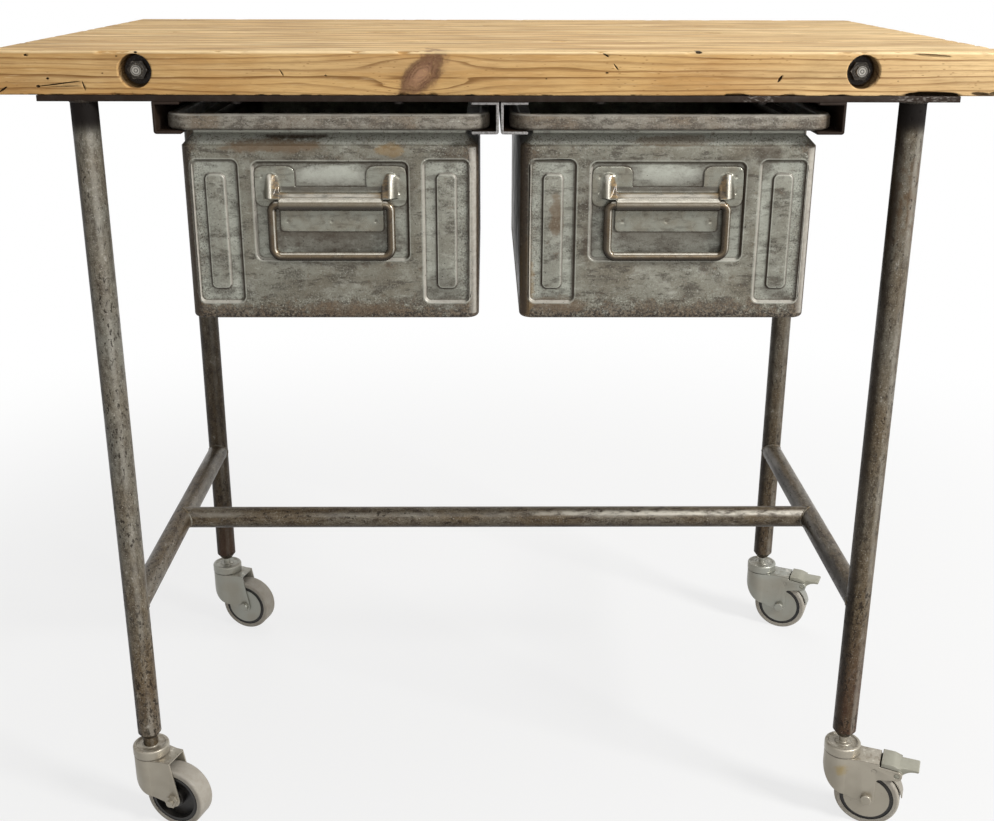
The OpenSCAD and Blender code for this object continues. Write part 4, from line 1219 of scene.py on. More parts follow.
@contextmanager
def editing(piece: bpy.types.Object) -> Iterator[None]:
    """Opens a piece in edit mode, with nothing selected, and closes it again.

    Args:
        piece: The object to edit.

    Yields:
        Nothing: the operators act on the piece until the block ends.
    """
    choose(piece)
    bpy.ops.object.mode_set(mode="EDIT")
    bpy.ops.mesh.select_all(action="DESELECT")
    try:
        yield
    finally:
        bpy.ops.object.mode_set(mode="OBJECT")


def pick_edges(piece: bpy.types.Object, test: Callable[[Vector, Vector], bool]) -> None:
    """Selects the edges whose two ends, in millimetres, pass a test."""
    bpy.ops.mesh.select_all(action="DESELECT")
    bpy.ops.mesh.select_mode(type="EDGE")
    mesh = bmesh.from_edit_mesh(piece.data)
    for edge in mesh.edges:
        edge.select_set(test(edge.verts[0].co / MM, edge.verts[1].co / MM))
    bmesh.update_edit_mesh(piece.data)


def block(name: str, low: Vector, high: Vector) -> bpy.types.Object:
    """Adds a box between two corners.

    Args:
        name: The object's name.
        low: Its lowest corner, in metres.
        high: Its highest corner.

    Returns:
        The box, with its place in its mesh.
    """
    deselect()
    bpy.ops.mesh.primitive_cube_add(size=1, location=(low + high) / 2)
    piece = bpy.context.active_object
    piece.name = name
    piece.scale = high - low
    settle(piece)
    return piece


def apply_modifier(piece: bpy.types.Object, kind: str, **settings: object) -> None:
    """Adds a modifier with its settings and applies it.

    Args:
        piece: The object to change.
        kind: The modifier's type.
        settings: The modifier's properties.
    """
    choose(piece)
    modifier = piece.modifiers.new(kind.title(), kind)
    for name, value in settings.items():
        setattr(modifier, name, value)
    bpy.ops.object.modifier_apply(modifier=modifier.name)


def merged_copy(node: str, name: str) -> bpy.types.Object:
    """Copies a node's mesh into a new piece and merges its loose corners.

    Args:
        node: The node's name.
        name: The new piece's name.

    Returns:
        The copy.
    """
    source = frame["nodes"][node]
    piece = bpy.data.objects.new(name, source.data.copy())
    bpy.context.scene.collection.objects.link(piece)
    piece.data.materials.clear()
    with editing(piece):
        bpy.ops.mesh.select_all(action="SELECT")
        bpy.ops.mesh.remove_doubles(threshold=0.001 * MM)
    return piece


def eased_copy(node: str, radius: float) -> bpy.types.Object:
    """Copies a node and rounds its sharp edges, as pressed, rolled or cast metal has them.

    Args:
        node: The node's name.
        radius: How far the rounding reaches from an edge, in millimetres.

    Returns:
        The copy.
    """
    piece = merged_copy(node, f"eased_{node}")
    with editing(piece):
        bpy.ops.mesh.select_all(action="SELECT")
        bpy.ops.mesh.dissolve_limited(angle_limit=FLAT_ANGLE)
    apply_modifier(piece, "BEVEL", width=radius * MM, segments=3, limit_method="ANGLE",
                   angle_limit=SHARP_ANGLE, use_clamp_overlap=False)
    smooth(piece)
    return piece


def smooth(piece: bpy.types.Object, degrees: float = 40) -> None:
    """Shades a piece smooth, apart from edges sharper than the angle."""
    choose(piece)
    bpy.ops.object.shade_smooth_by_angle(angle=math.radians(degrees))


@dataclass
class Workshop:
    """Hands finished pieces to the frame and reports them."""

    made: int = 0

    def fit(
        self,
        piece: bpy.types.Object,
        body: str,
        slot: str,
        finish: bpy.types.Material,
        stands_for: Sequence[str] = (),
    ) -> None:
        """Dresses a piece and lets it ride on its body.

        Args:
            piece: The finished piece.
            body: The body that it moves with.
            slot: The record's material slot; not used.
            finish: Its material.
            stands_for: The nodes that it replaces.
        """
        piece.data.materials.clear()
        piece.data.materials.append(finish)
        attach(piece, body)
        if stands_for:
            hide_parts(*stands_for)
        self.made += 1
        LOG.info("%s: %d faces, rides on %s", piece.name, len(piece.data.polygons), body)

    def paint(self, finish: Union[Finish, bpy.types.Material], nodes: Iterable[str]) -> None:
        """Gives nodes of the frame a finish on their own material slots."""
        material = finish.build() if isinstance(finish, Finish) else finish
        for name in nodes:
            slots = frame["nodes"][name].data.materials
            slots.clear()
            slots.append(material)
            LOG.info("%s: %s", name, material.name)


@dataclass
class Worktop:
    """The four boards of the top, worn and bored.

    Attributes:
        workshop: Fits the pieces.
        inset: How far the worn faces lie inside the sawn ones, in millimetres.
        arris: Rounding of the long edges.
        wall: Distance of a pocket's wall from the washer in it.
        reach: How far chips and hollows reach from an edge.
        dish: Mean depth of the hollows.
        dish_size: Size of a hollow along each axis.
        chip: Greatest depth of a chip.
        chip_size: Size of a chip along each axis.
        chip_start: Value of the noise at which a chip starts.
        chip_rate: Depth of a chip for each unit of the noise over that.
        ragged: How ragged the marks are, as a share of their width.
        ragged_size: Size of their rags.
        cuts: Cuts of each round of subdivision along, across and up each board.
        hearts: Each board's tree heart, from its front face and from the underside.
        knot: The knot in the front face.
        marks: The cracks and dents in the front face.
    """

    workshop: Workshop
    inset: float = 0.06
    arris: float = 1.1
    wall: float = 2.5
    reach: float = 3.4
    dish: float = 0.14
    dish_size: Triple = (160, 50, 50)
    chip: float = 3.2
    chip_size: Triple = (26, 9, 9)
    chip_start: float = 0.28
    chip_rate: float = 5.5
    ragged: float = 0.16
    ragged_size: float = 4
    cuts: tuple[tuple[int, ...], ...] = ((19, 19), (19,), (19,))
    hearts: tuple[tuple[float, float], ...] = ((70, -152.4), (40, -120), (120, -190), (60, 170))
    knot: Knot = Knot(x=-76.5, z=871.8, radius=14.0, stretch=1.9, tilt=42, depth=60)
    marks: tuple[Mark, ...] = (
        Mark(-429, 862.8, 42, 1.1, 7), Mark(-405.4, 861.0, 9, 1.2, -74), Mark(-449.6, 860.3, 3.6, 2.4),
        Mark(-424, 860.4, 30, 0.8, 1, 0.8, 0.7), Mark(-439.6, 867.8, 2.6, 2.0), Mark(-484, 857.4, 9, 1.8, 32),
        Mark(-212.4, 873.6, 7, 1.1, -62, 1.2, 0.8), Mark(-170, 871, 2.4, 1.4, 0, 0.8, 0.7),
        Mark(420, 891.0, 36, 2.6, -4, 1.6, 0.5), Mark(424, 853.2, 54, 6.4, 0, 11.0),
        Mark(473, 854.0, 20, 3.6, -6, 2.6, 0.8), Mark(484, 854.5, 9, 3.4, 8, 2.2, 0.8),
        Mark(102.7, 890.6, 6, 1.5, -28), Mark(104.2, 873.9, 3, 1.4),
        Mark(112.8, 879.6, 7, 1.2, -52), Mark(273.4, 868.4, 7, 2.4, 58, 2.0), Mark(192.8, 893.2, 6, 2.4),
        Mark(-458.7, 889.9, 3, 2.0), Mark(-352.5, 892.6, 3, 1.8),
    )

    def build(self) -> None:
        """Makes the boards."""
        names = [f"plank_{number}" for number in range(1, len(self.hearts) + 1)]
        low, high = box_mm(names[0])[0], box_mm(names[-1])[1]
        rods_low, rods_high = box_mm("tie_rods")
        washer_low, washer_high = box_mm("tie_washers")
        faces = Top(low.y, high.y, low.z, high.z, high.x,
                    rod_x=rods_high.x - (rods_high.z - rods_low.z) / 2,
                    rod_z=(rods_low.z + rods_high.z) / 2,
                    pocket=(washer_high.z - washer_low.z) / 2 + self.wall)
        for index, name in enumerate(names):
            first = index == 0
            heart = (box_mm(name)[0].y + self.hearts[index][0], faces.bottom + self.hearts[index][1])
            wood = BoardWood(f"board_wood_{index + 1}", faces, heart, shift=13.7 * index,
                             knot=self.knot if first else None, marks=self.marks if first else ())
            self.workshop.fit(self._board(name, first), "table", "wood", wood.build(), [name])

    def _board(self, node: str, front: bool) -> bpy.types.Object:
        """Models one board: sawn block, fine grid, eased arrises, wear, then its bores.

        Args:
            node: The board's node.
            front: Whether the board carries the front face's marks.

        Returns:
            The board.
        """
        low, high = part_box(node)
        skin = Vector((self.inset,) * 3) * MM
        board = block(f"worn_{node}", low + skin, high - skin)
        with editing(board):
            for axis, rounds in enumerate(self.cuts):
                for cuts in rounds:
                    pick_edges(board, lambda a, b: (a - b).length - abs(a[axis] - b[axis]) < 1e-4)
                    bpy.ops.mesh.subdivide(number_cuts=cuts)
            faces = (low + skin) / MM, (high - skin) / MM
            pick_edges(board, lambda a, b: len(self._sides(a, faces) & self._sides(b, faces)) > 1)
            bpy.ops.mesh.bevel(offset=self.arris * MM, segments=2)
        self._wear(board, low / MM, high / MM)
        bored = merged_copy(node, f"bores_{node}")
        if front:
            self._sink_marks(bored, low.y / MM)
        apply_modifier(board, "BOOLEAN", operation="INTERSECT", solver="EXACT", object=bored)
        bpy.data.objects.remove(bored)
        smooth(board, 35)
        return board

    @staticmethod
    def _sides(point: Vector, faces: tuple[Vector, Vector]) -> set[tuple[int, int]]:
        """Names the faces of a box that a point lies on."""
        return {(axis, side) for axis in range(3) for side in range(2)
                if abs(point[axis] - faces[side][axis]) < 1e-3}

    def _wear(self, board: bpy.types.Object, low: Vector, high: Vector) -> None:
        """Dishes the faces a little and chips the arrises, always inwards.

        Args:
            board: The board to wear.
            low: Lowest corner of its node, in millimetres.
            high: Highest corner.
        """
        middle = (low + high) / 2
        for vertex in board.data.vertices:
            point = vertex.co / MM
            near = [min(point[axis] - low[axis], high[axis] - point[axis]) for axis in range(3)]
            dish = self.dish * (1 + noise.noise(shrunk(point, self.dish_size)))
            rough = noise.fractal(shrunk(point, self.chip_size), 0.8, 2.2, 4)
            chip = min(self.chip, self.chip_rate * max(0.0, rough - self.chip_start))
            bite = dish + chip * max(0.0, 1 - sorted(near)[1] / self.reach)
            for axis in (1, 2):
                if near[axis] < self.reach:
                    inward = 1 if point[axis] < middle[axis] else -1
                    vertex.co[axis] += inward * bite * MM * (1 - near[axis] / self.reach)

    def _sink_marks(self, board: bpy.types.Object, front: float) -> None:
        """Sinks the cracks and dents into the front face.

        Args:
            board: The front board, or the solid that it is cut to.
            front: Place of the front face, in millimetres.
        """
        gouges = bpy.data.collections.new("gouges")
        for number, mark in enumerate(self.marks):
            deselect()
            bpy.ops.mesh.primitive_ico_sphere_add(subdivisions=3, radius=MM, location=(
                mark.x * MM, front * MM, mark.z * MM), rotation=(0, -math.radians(mark.tilt), 0))
            gouge = bpy.context.active_object
            gouge.scale = (mark.length / 2, mark.depth, mark.width / 2)
            settle(gouge)
            for vertex in gouge.data.vertices:
                away = noise.noise_vector(vertex.co / MM / self.ragged_size + Vector((number, 0, 0)))
                vertex.co += away * MM * mark.width * self.ragged
            gouges.objects.link(gouge)
        apply_modifier(board, "BOOLEAN", operation="DIFFERENCE", solver="EXACT",
                       operand_type="COLLECTION", collection=gouges)
        for gouge in list(gouges.objects):
            bpy.data.objects.remove(gouge)
        bpy.data.collections.remove(gouges)


@dataclass
class PressedParts:
    """The table's pressed and rolled steel, with the soft edges that pressing leaves.

    Attributes:
        workshop: Fits the pieces.
        shell_edge: Rounding of the crates' edges, in millimetres.
        bar_edge: Rounding of the bars' and rails' edges.
        fork_edge: Rounding of the casters' forks.
        head_edge: Rounding of the casters' swivel heads.
        pedal_edge: Rounding of the moulded pedals.
        voxel: Grain of the handle plates' mesh.
        passes: Rounds of smoothing of the handle plates.
        plate_depth: Distance of a handle plate's flat face behind its barrel's crown.
        barrel_half: Height above the barrel's axis at which the cove and the ears start.
        barrel_reach: Half the length of the barrel.
        eye_height: Height above the barrel's axis at which the ears clear the bail.
        cove_depth: How far the cove is drawn out at its start.
        cove_height: Height of the cove above its start.
        cove_curve: How fast the cove falls back above its start.
        flare: How much higher the cove is at the ears.
        flare_run: Distance inside the ears over which it gets higher.
        fade: Distance outside the ears over which the cove ends.
        ear_x: Distance of the ears from the plate's middle.
        ear_depth: How far an ear stands out at its start.
        ear_inner: Width of an ear's inner side.
        ear_outer: Width of its outer side.
        ear_height: Height of an ear above its start.
        ear_taper: How much slimmer an ear is at its top, as a share.
    """

    workshop: Workshop
    shell_edge: float = 0.6
    bar_edge: float = 0.6
    fork_edge: float = 0.6
    head_edge: float = 1.0
    pedal_edge: float = 0.8
    voxel: float = 0.62
    passes: int = 7
    plate_depth: float = 10.9
    barrel_half: float = 3
    barrel_reach: float = 52
    eye_height: float = 5.8
    cove_depth: float = 9.6
    cove_height: float = 15
    cove_curve: float = 1.8
    flare: float = 13
    flare_run: float = 25
    fade: float = 6
    ear_x: float = 61
    ear_depth: float = 9.4
    ear_inner: float = 7.5
    ear_outer: float = 5.2
    ear_height: float = 26
    ear_taper: float = 0.35

    def ease(
        self, nodes: Iterable[str], body: str, slot: str, finish: bpy.types.Material, radius: float
    ) -> None:
        """Replaces nodes by copies with rounded edges.

        Args:
            nodes: The nodes.
            body: The body that they ride on.
            slot: Their material slot.
            finish: Their material.
            radius: The rounding, in millimetres.
        """
        for node in nodes:
            self.workshop.fit(eased_copy(node, radius), body, slot, finish, [node])

    def plate(self, node: str, body: str, finish: bpy.types.Material) -> None:
        """Models a handle plate whose ears, barrel and lobes flow into each other.

        Args:
            node: The plate's node.
            body: The body that it rides on.
            finish: Its material.
        """
        piece = merged_copy(node, f"drawn_{node}")
        apply_modifier(piece, "REMESH", mode="VOXEL", voxel_size=self.voxel * MM)
        self._draw_out(piece)
        apply_modifier(piece, "REMESH", mode="VOXEL", voxel_size=self.voxel * MM)
        apply_modifier(piece, "SMOOTH", factor=0.5, iterations=self.passes)
        smooth(piece, 60)
        self.workshop.fit(piece, body, "handle_steel", finish, [node])

    def _draw_out(self, piece: bpy.types.Object) -> None:
        """Draws the plate out to its barrel in a wide cove, and its ears into slim ridges.

        Args:
            piece: The handle plate.
        """
        points = [vertex.co / MM for vertex in piece.data.vertices]
        sides = [point.x for point in points]
        middle, front = (min(sides) + max(sides)) / 2, min(point.y for point in points)
        barrel = [point.z for point in points if point.y < front + 0.3]
        barrel_z, face = (min(barrel) + max(barrel)) / 2, front + self.plate_depth
        for vertex, point in zip(piece.data.vertices, points):
            aside, above, out = abs(point.x - middle), point.z - barrel_z, face - point.y
            on_barrel = aside < self.barrel_reach
            climb = above - (self.barrel_half if on_barrel else self.eye_height)
            if out < -0.05 or climb < 0:
                continue
            drawn = max(self._cove(aside, climb), self._ear(aside, climb))
            vertex.co.y = (face - max(out if on_barrel else 0.0, drawn)) * MM

    def _cove(self, aside: float, climb: float) -> float:
        """Gives how far the cove is drawn out, higher towards the ears and gone outside them."""
        from_ear = aside - self.ear_x
        towards_ear = min(max(from_ear / self.flare_run + 1, 0.0), 1.0)
        height = self.cove_height + self.flare * towards_ear ** 2
        outside = min(max(1 - from_ear / self.fade, 0.0), 1.0)
        return self.cove_depth * max(1 - climb / height, 0.0) ** self.cove_curve * outside

    def _ear(self, aside: float, climb: float) -> float:
        """Gives how far an ear stands out, steeper on its outer side and rounded at its top."""
        up = min(climb / self.ear_height, 1.0)
        from_ear = aside - self.ear_x
        half = (self.ear_inner if from_ear < 0 else self.ear_outer) * (1 - self.ear_taper * up)
        return self.ear_depth * math.sqrt(1 - up) * math.exp(-(from_ear / half) ** 2)


@dataclass(frozen=True)
class Seam:
    """Where a tube meets its mate, in millimetres.

    Attributes:
        place: Where the tube's axis meets the mate's axis or face.
        axis: The way the tube leaves its mate.
        along: The way the mate runs.
        tube: Radius of the tube.
        mate: Radius of the mate, or nothing for a flat face.
    """

    place: Vector
    axis: Vector
    along: Vector
    tube: float
    mate: Optional[float] = None


@dataclass
class Welds:
    """Weld beads where the tubes meet each other and the bars.

    Attributes:
        workshop: Fits the pieces.
        bead: Radius of a bead, in millimetres.
        ripple: Height of its ripples, as a share of the radius.
        lumps: Height of its uneven places, as a share of the radius.
        lump_size: Size of those places.
        sunk: How far a bead's middle lies inside the tube's face.
        pitch: Spacing of its ripples along the seam.
        parts: Number of faces along a bead and round it.
    """

    workshop: Workshop
    bead: float = 1.9
    ripple: float = 0.10
    lumps: float = 0.25
    lump_size: float = 5
    sunk: float = 0.9
    pitch: float = 3.0
    parts: tuple[int, int] = (120, 10)

    def build(self) -> None:
        """Welds the stretchers to the legs and to each other, and the legs to the bars."""
        finish = WeldSteel("weld_steel", box_mm("frame_bar_front")[0].z).build()
        low, high = box_mm("leg_front_left")
        tube = (high.x - low.x) / 2
        long_low, long_high = box_mm("stretcher_long")
        seams = {}
        for side, inwards in (("left", X_AXIS), ("right", -X_AXIS)):
            low, high = box_mm(f"stretcher_{side}")
            brace = (low + high) / 2
            for end, towards in (("front", Y_AXIS), ("rear", -Y_AXIS)):
                low, high = box_mm(f"leg_{end}_{side}")
                leg = (low + high) / 2
                seams[f"weld_stretcher_{end}_{side}"] = Seam(
                    Vector((leg.x, leg.y, brace.z)), towards, Z_AXIS, tube, tube)
                seams[f"weld_leg_{end}_{side}"] = Seam(Vector((leg.x, leg.y, high.z)), -Z_AXIS, Y_AXIS, tube)
            seams[f"weld_long_{side}"] = Seam(
                Vector((brace.x, (long_low.y + long_high.y) / 2, brace.z)), inwards, Y_AXIS, tube, tube)
        for name, seam in seams.items():
            self.workshop.fit(self._bead(name, seam), "table", "tube_steel", finish)

    def _bead(self, name: str, seam: Seam) -> bpy.types.Object:
        """Models a rippled bead round the origin and turns it onto its seam.

        Args:
            name: The bead's name.
            seam: The seam.

        Returns:
            The bead.
        """
        deselect()
        radius = seam.tube
        bpy.ops.mesh.primitive_torus_add(
            major_radius=radius * MM, minor_radius=self.bead * MM,
            major_segments=self.parts[0], minor_segments=self.parts[1])
        bead = bpy.context.active_object
        bead.name = name
        ripples = round(math.tau * radius / self.pitch)
        for vertex in bead.data.vertices:
            angle = math.atan2(vertex.co.y, vertex.co.x)
            outwards = Vector((math.cos(angle), math.sin(angle), 0))
            core = outwards * radius * MM
            uneven = noise.noise(core / MM / self.lump_size + Vector((radius, ripples, len(name))))
            swell = 1 + self.ripple * math.sin(ripples * angle) + self.lumps * uneven
            vertex.co = outwards * (radius - self.sunk) * MM + (vertex.co - core) * swell
            if seam.mate is not None:
                vertex.co.z += MM * math.sqrt(max(seam.mate ** 2 - (radius * math.cos(angle)) ** 2, 0.0))
        smooth(bead, 70)
        turn = Matrix((seam.along.cross(seam.axis), seam.along, seam.axis)).transposed().to_4x4()
        bead.matrix_world = Matrix.Translation(seam.place * MM) @ turn
        settle(bead)
        return bead


@dataclass(frozen=True)
class Lamp:
    """A soft box that looks at the table.

    Attributes:
        name: Its name.
        place: Its place, in metres.
        size: Its width and height, in metres.
        power: Its power in watts.
        in_gloss: Whether it shows in glossy surfaces.
    """

    name: str
    place: Triple
    size: tuple[float, float]
    power: float
    in_gloss: bool = True


@dataclass
class Studio:
    """Floor, lamps and camera.

    Attributes:
        image_width: Width of the picture in pixels.
        focal: Focal length in pixels.
        rise: How far the optical axis lies above the picture's middle, in pixels.
        eye: Place of the camera, in millimetres.
        pitch: How far the camera looks down, in radians.
        yaw: How far it looks to the left, in radians.
        roll: How far it leans, in radians.
        sensor: Width of the sensor, in millimetres.
        floor: Side of the floor, in metres.
        aim: Point that the lamps look at, in metres.
        ambient: Strength of the even light that fills the room.
        glow: How far the floor shows its own white at the table.
        pale: Distances from the table between which it turns plain white, in millimetres.
        lamps: The soft boxes.
    """

    image_width: float = 994
    focal: float = 1251.6
    rise: float = 19.7
    eye: Triple = (-13.8, -1536.2, 985.3)
    pitch: float = 0.3376
    yaw: float = -0.0093
    roll: float = 0.0025
    sensor: float = 36
    floor: float = 90
    aim: Triple = (0, 0, 0.5)
    ambient: float = 0.12
    glow: float = 0.76
    pale: tuple[float, float] = (600, 1900)
    lamps: tuple[Lamp, ...] = (
        Lamp("key_light", (2.6, -1.8, 2.4), (0.8, 0.8), 140),
        Lamp("front_light", (0.7, -3.6, 1.8), (2.0, 1.4), 32),
        Lamp("top_light", (0.2, 0.4, 3.4), (3.2, 2.4), 46),
        Lamp("back_light", (-0.8, 3.2, 0.9), (2.4, 1.0), 30, in_gloss=False),
    )

    def build(self) -> None:
        """Sets up the floor, the light and the camera."""
        scene = bpy.context.scene
        scene.view_settings.view_transform = "Standard"
        self._floor()
        self._world()
        for lamp in self.lamps:
            self._hang(lamp)
        self._camera(scene)

    def _floor(self) -> None:
        """Lays a pale floor that turns plain white far from the table."""
        deselect()
        bpy.ops.mesh.primitive_plane_add(size=self.floor)
        ground = bpy.context.active_object
        ground.name = "floor"
        sheet = NodeSheet("floor_white")
        distance = length(sheet.x, sheet.y)
        paint = sheet.add("ShaderNodeBsdfDiffuse", {}, {"Color": Tone.FLOOR})
        white = sheet.add("ShaderNodeEmission", {}, {"Strength": 1.0})
        share = (self.glow + (1 - self.glow) * distance.rise(*self.pale)) * sheet.seen()
        sheet.add_output(sheet.add("ShaderNodeMixShader", {}, {0: share, 1: paint, 2: white}))
        ground.data.materials.append(sheet.material)

    def _world(self) -> None:
        """Fills the room with even light and shows it white."""
        sheet = NodeSheet("studio", world=True)
        values = {"Color": (1, 1, 1, 1), "Strength": self.ambient + (1 - self.ambient) * sheet.seen()}
        sheet.add_output(sheet.add("ShaderNodeBackground", {}, values))
        bpy.context.scene.world = sheet.material

    def _hang(self, lamp: Lamp) -> None:
        """Hangs a soft box."""
        light = bpy.data.lights.new(lamp.name, "AREA")
        light.shape = "RECTANGLE"
        light.size, light.size_y = lamp.size
        light.energy = lamp.power
        hung = bpy.data.objects.new(lamp.name, light)
        bpy.context.scene.collection.objects.link(hung)
        hung.location = lamp.place
        hung.rotation_euler = (Vector(self.aim) - Vector(lamp.place)).to_track_quat("-Z", "Y").to_euler()
        hung.visible_glossy = lamp.in_gloss

    def _camera(self, scene: bpy.types.Scene) -> None:
        """Puts the camera where the photograph was taken from."""
        data = bpy.data.cameras.new("camera")
        data.sensor_width = self.sensor
        data.lens = self.sensor * self.focal / self.image_width
        data.shift_y = -self.rise / self.image_width
        data.clip_end = 2 * self.floor
        camera = bpy.data.objects.new("camera", data)
        scene.collection.objects.link(camera)
        turn = (Matrix.Rotation(self.yaw, 4, "Z") @ Matrix.Rotation(math.pi / 2 - self.pitch, 4, "X")
                @ Matrix.Rotation(self.roll, 4, "Z"))
        camera.matrix_world = Matrix.Translation(Vector(self.eye) * MM) @ turn
        scene.camera = camera


STAINS = {
    "left": (
        Stain(-206, 811, 70, 9, Tone.RUST_DARK, 1.0), Stain(-228, 801, 96, 12, Tone.RUST_BROWN, 0.85),
        Stain(-110, 797, 24, 14, Tone.CRATE_STAIN, 0.6), Stain(-60, 652, 44, 34, Tone.CRATE_DARK, 0.5),
        # The dark patch at height 706 under the handle's barrel is grime and painted shade.
        Stain(-171, 771, 74, 18, Tone.CRATE_LIGHT, 0.6), Stain(-171, 706, 118, 40, Tone.RUST_DARK, 0.70),
        Stain(-150, 632, 90, 14, Tone.RUST_BROWN, 0.4),
    ),
    "right": (
        Stain(58, 730, 12, 44, Tone.RUST_BROWN, 0.7), Stain(174, 806, 74, 9, Tone.RUST_BROWN, 0.6),
        Stain(271, 792, 24, 30, Tone.RUST_DARK, 0.6), Stain(92, 705, 14, 40, Tone.RUST_DARK, 0.5),
        Stain(28, 660, 14, 90, Tone.CRATE_STAIN, 0.55), Stain(60, 636, 60, 16, Tone.RUST_BROWN, 0.5),
        Stain(290, 650, 30, 22, Tone.RUST_DARK, 0.45), Stain(171, 771, 74, 18, Tone.CRATE_LIGHT, 0.5),
        # Grime and painted shade under the handle's barrel.
        Stain(171, 706, 118, 40, Tone.RUST_DARK, 0.55),
    ),
}


def nodes_of(slot: str, *parts: str) -> list[str]:
    """Lists the nodes of a material slot whose names hold one of the parts, or all of them."""
    listed = [piece["node"] for piece in frame["record"]["subparts"] if piece["material_slot"] == slot]
    return [name for name in listed if not parts or any(part in name for part in parts)]


@dataclass
class Dressing:
    """Gives every node its finish, and the pressed pieces their soft edges.

    Attributes:
        workshop: Fits the pieces.
        pressed: Models the pressed pieces.
        wall: Distance of a crate's front wall behind its rim's outer face, in millimetres.
        rim_height: Height of the rolled rim.
        shoulder_drop: Distance of the shoulder's lower edge under the rim.
        crate_half: Half the width of a crate's body.
        panel_x: Distance of the side panels from the crate's middle.
        panel_drop: Distance of the side panels' middle under the shoulder.
        panel_size: Width and height of a side panel.
        strip_size: Width and height of the raised strip in it.
        recess_drop: Distance of the middle panel's middle under the shoulder.
        recess_size: Width and height of the middle panel.
        recess_slope: Run of the panels' sloping sides.
        strip_slope: Run of the strips' sloping sides.
        notch: Width of the notch in a handle plate.
        notch_height: Height of that notch.
        lobe_height: Height of the plate's lobes.
        barrel_drop: Distance of the barrel's axis under the plate's upper edge.
        bridge_reach: How much wider than the notch the sheet under it is.
        tab: Width of the tab under the barrel.
        rubbed: Rubbed places on the bars, along X.
        rod_rings: Spacing of the fine rings on the rods' ends.
        nut_rings: Spacing of the rings on the nuts.
        stain: Place and radius of the yellow stain on the front right caster.
    """

    workshop: Workshop
    pressed: PressedParts
    wall: float = 11.5
    rim_height: float = 16
    shoulder_drop: float = 17
    crate_half: float = 150
    panel_x: float = 117
    panel_drop: float = 87.5
    panel_size: tuple[float, float] = (48, 149)
    strip_size: tuple[float, float] = (21, 120)
    recess_drop: float = 66
    recess_size: tuple[float, float] = (158, 102)
    recess_slope: float = 2
    strip_slope: float = -1
    notch: float = 72
    notch_height: float = 21
    lobe_height: float = 41
    barrel_drop: float = 38.5
    bridge_reach: float = 20
    tab: float = 106
    rubbed: tuple[float, ...] = (255, 402, 430)
    rod_rings: float = 2.4
    nut_rings: float = 4.6
    stain: tuple[float, float, float, float] = (404, -297, 72, 13)

    def build(self) -> None:
        """Dresses the frame, the crates and the casters."""
        self._frame()
        for number, side in enumerate(("left", "right")):
            self._crate(side, number)
        for number, corner in enumerate(("fl", "fr", "rl", "rr")):
            self._caster(corner, number)
        self.workshop.paint(Zinc("zinc_balls", 1.0, 0.0), ["swivel_balls"])

    def _frame(self) -> None:
        """Dresses the bars, rails, legs, stretchers and the top's rods and screws."""
        under = box_mm("frame_bar_front")[0].z
        sides = {"along": (1, 2.5, 1)}
        tubes = {
            "leg_front_left": TubeSteel("leg_steel_fl", 110, 520, 0.24, 0.0, under, foot=0.25, shift=1.1),
            "leg_front_right": TubeSteel("leg_steel_fr", 160, 620, 0.54, 0.16, under, 745, 0.8, 0.9, 4.3),
            "leg_rear_left": TubeSteel("leg_steel_rl", 110, 500, 0.80, 0.60, under, foot=0.9, shift=7.9),
            "leg_rear_right": TubeSteel("leg_steel_rr", 110, 500, 0.50, 0.38, under, foot=0.3, shift=9.2),
            "leg_plugs": TubeSteel("plug_steel", 90, 300, 0.70, 0.30, under, shift=15.4),
        }
        for node, options in (("stretcher_long", {"along": (2.5, 1, 1), "glint_x": -20}),
                              ("stretcher_left", sides), ("stretcher_right", sides)):
            tubes[node] = TubeSteel(f"{node}_steel", 100, 300, 0.78, 0.24, under, shift=12.6, **options)
        for node, finish in tubes.items():
            self.workshop.paint(finish, [node])
        lacquer = WornLacquer("black_lacquer", box_mm("rail_left_outer")[0].y, self.rubbed, under).build()
        self.pressed.ease(nodes_of("frame_steel"), "table", "frame_steel", lacquer, self.pressed.bar_edge)
        low, high = box_mm("tie_rods")
        axis = (high.x - (high.z - low.z) / 2, (low.z + high.z) / 2)
        self.workshop.paint(RodSteel("rod_steel", Tone.ROD, 0.8, axis, self.rod_rings), ["tie_rods"])
        self.workshop.paint(RodSteel("nut_steel", Tone.NUT, 0.55, axis, self.nut_rings), ["tie_nuts"])
        self.workshop.paint(RodSteel("washer_steel", Tone.WASHER, 0.1), ["tie_washers", "top_screws"])

    def _crate(self, side: str, number: int) -> None:
        """Dresses one crate with its handle.

        Args:
            side: "left" or "right".
            number: The crate's number, which moves its patterns.
        """
        crate, plate = f"crate_{side}", f"crate_{side}_handle_plate"
        low, high = box_mm(f"{crate}_shell")
        middle, rim = (low.x + high.x) / 2, high.z - self.rim_height
        shoulder = rim - self.shoulder_drop
        plate_low, plate_high = box_mm(plate)
        sheet = CrateSheet(
            f"{crate}_steel", middle, self.crate_half, low.y + self.wall, low.z, shoulder, rim,
            self._pressings(middle, shoulder), self._welded(middle, plate_low, plate_high), STAINS[side],
            3.1 + 8.3 * number).build()
        self.pressed.ease([f"{crate}_shell"], crate, "crate_steel", sheet, self.pressed.shell_edge)
        self.workshop.paint(sheet, [f"{crate}_rim_wire"])
        drawn = HandleSteel(
            f"plate_{side}_steel", 2.3 + 5.7 * number, 0.10, 0.45, plate_low.y + self.pressed.plate_depth,
            middle, self.pressed.ear_x, plate_high.z - self.barrel_drop + self.pressed.eye_height)
        self.pressed.plate(plate, crate, drawn.build())
        bail = HandleSteel(f"bail_{side}_steel", 4.1 + 3.9 * number, 0.85, 0.45)
        self.workshop.paint(bail, [f"{crate}_bail"])

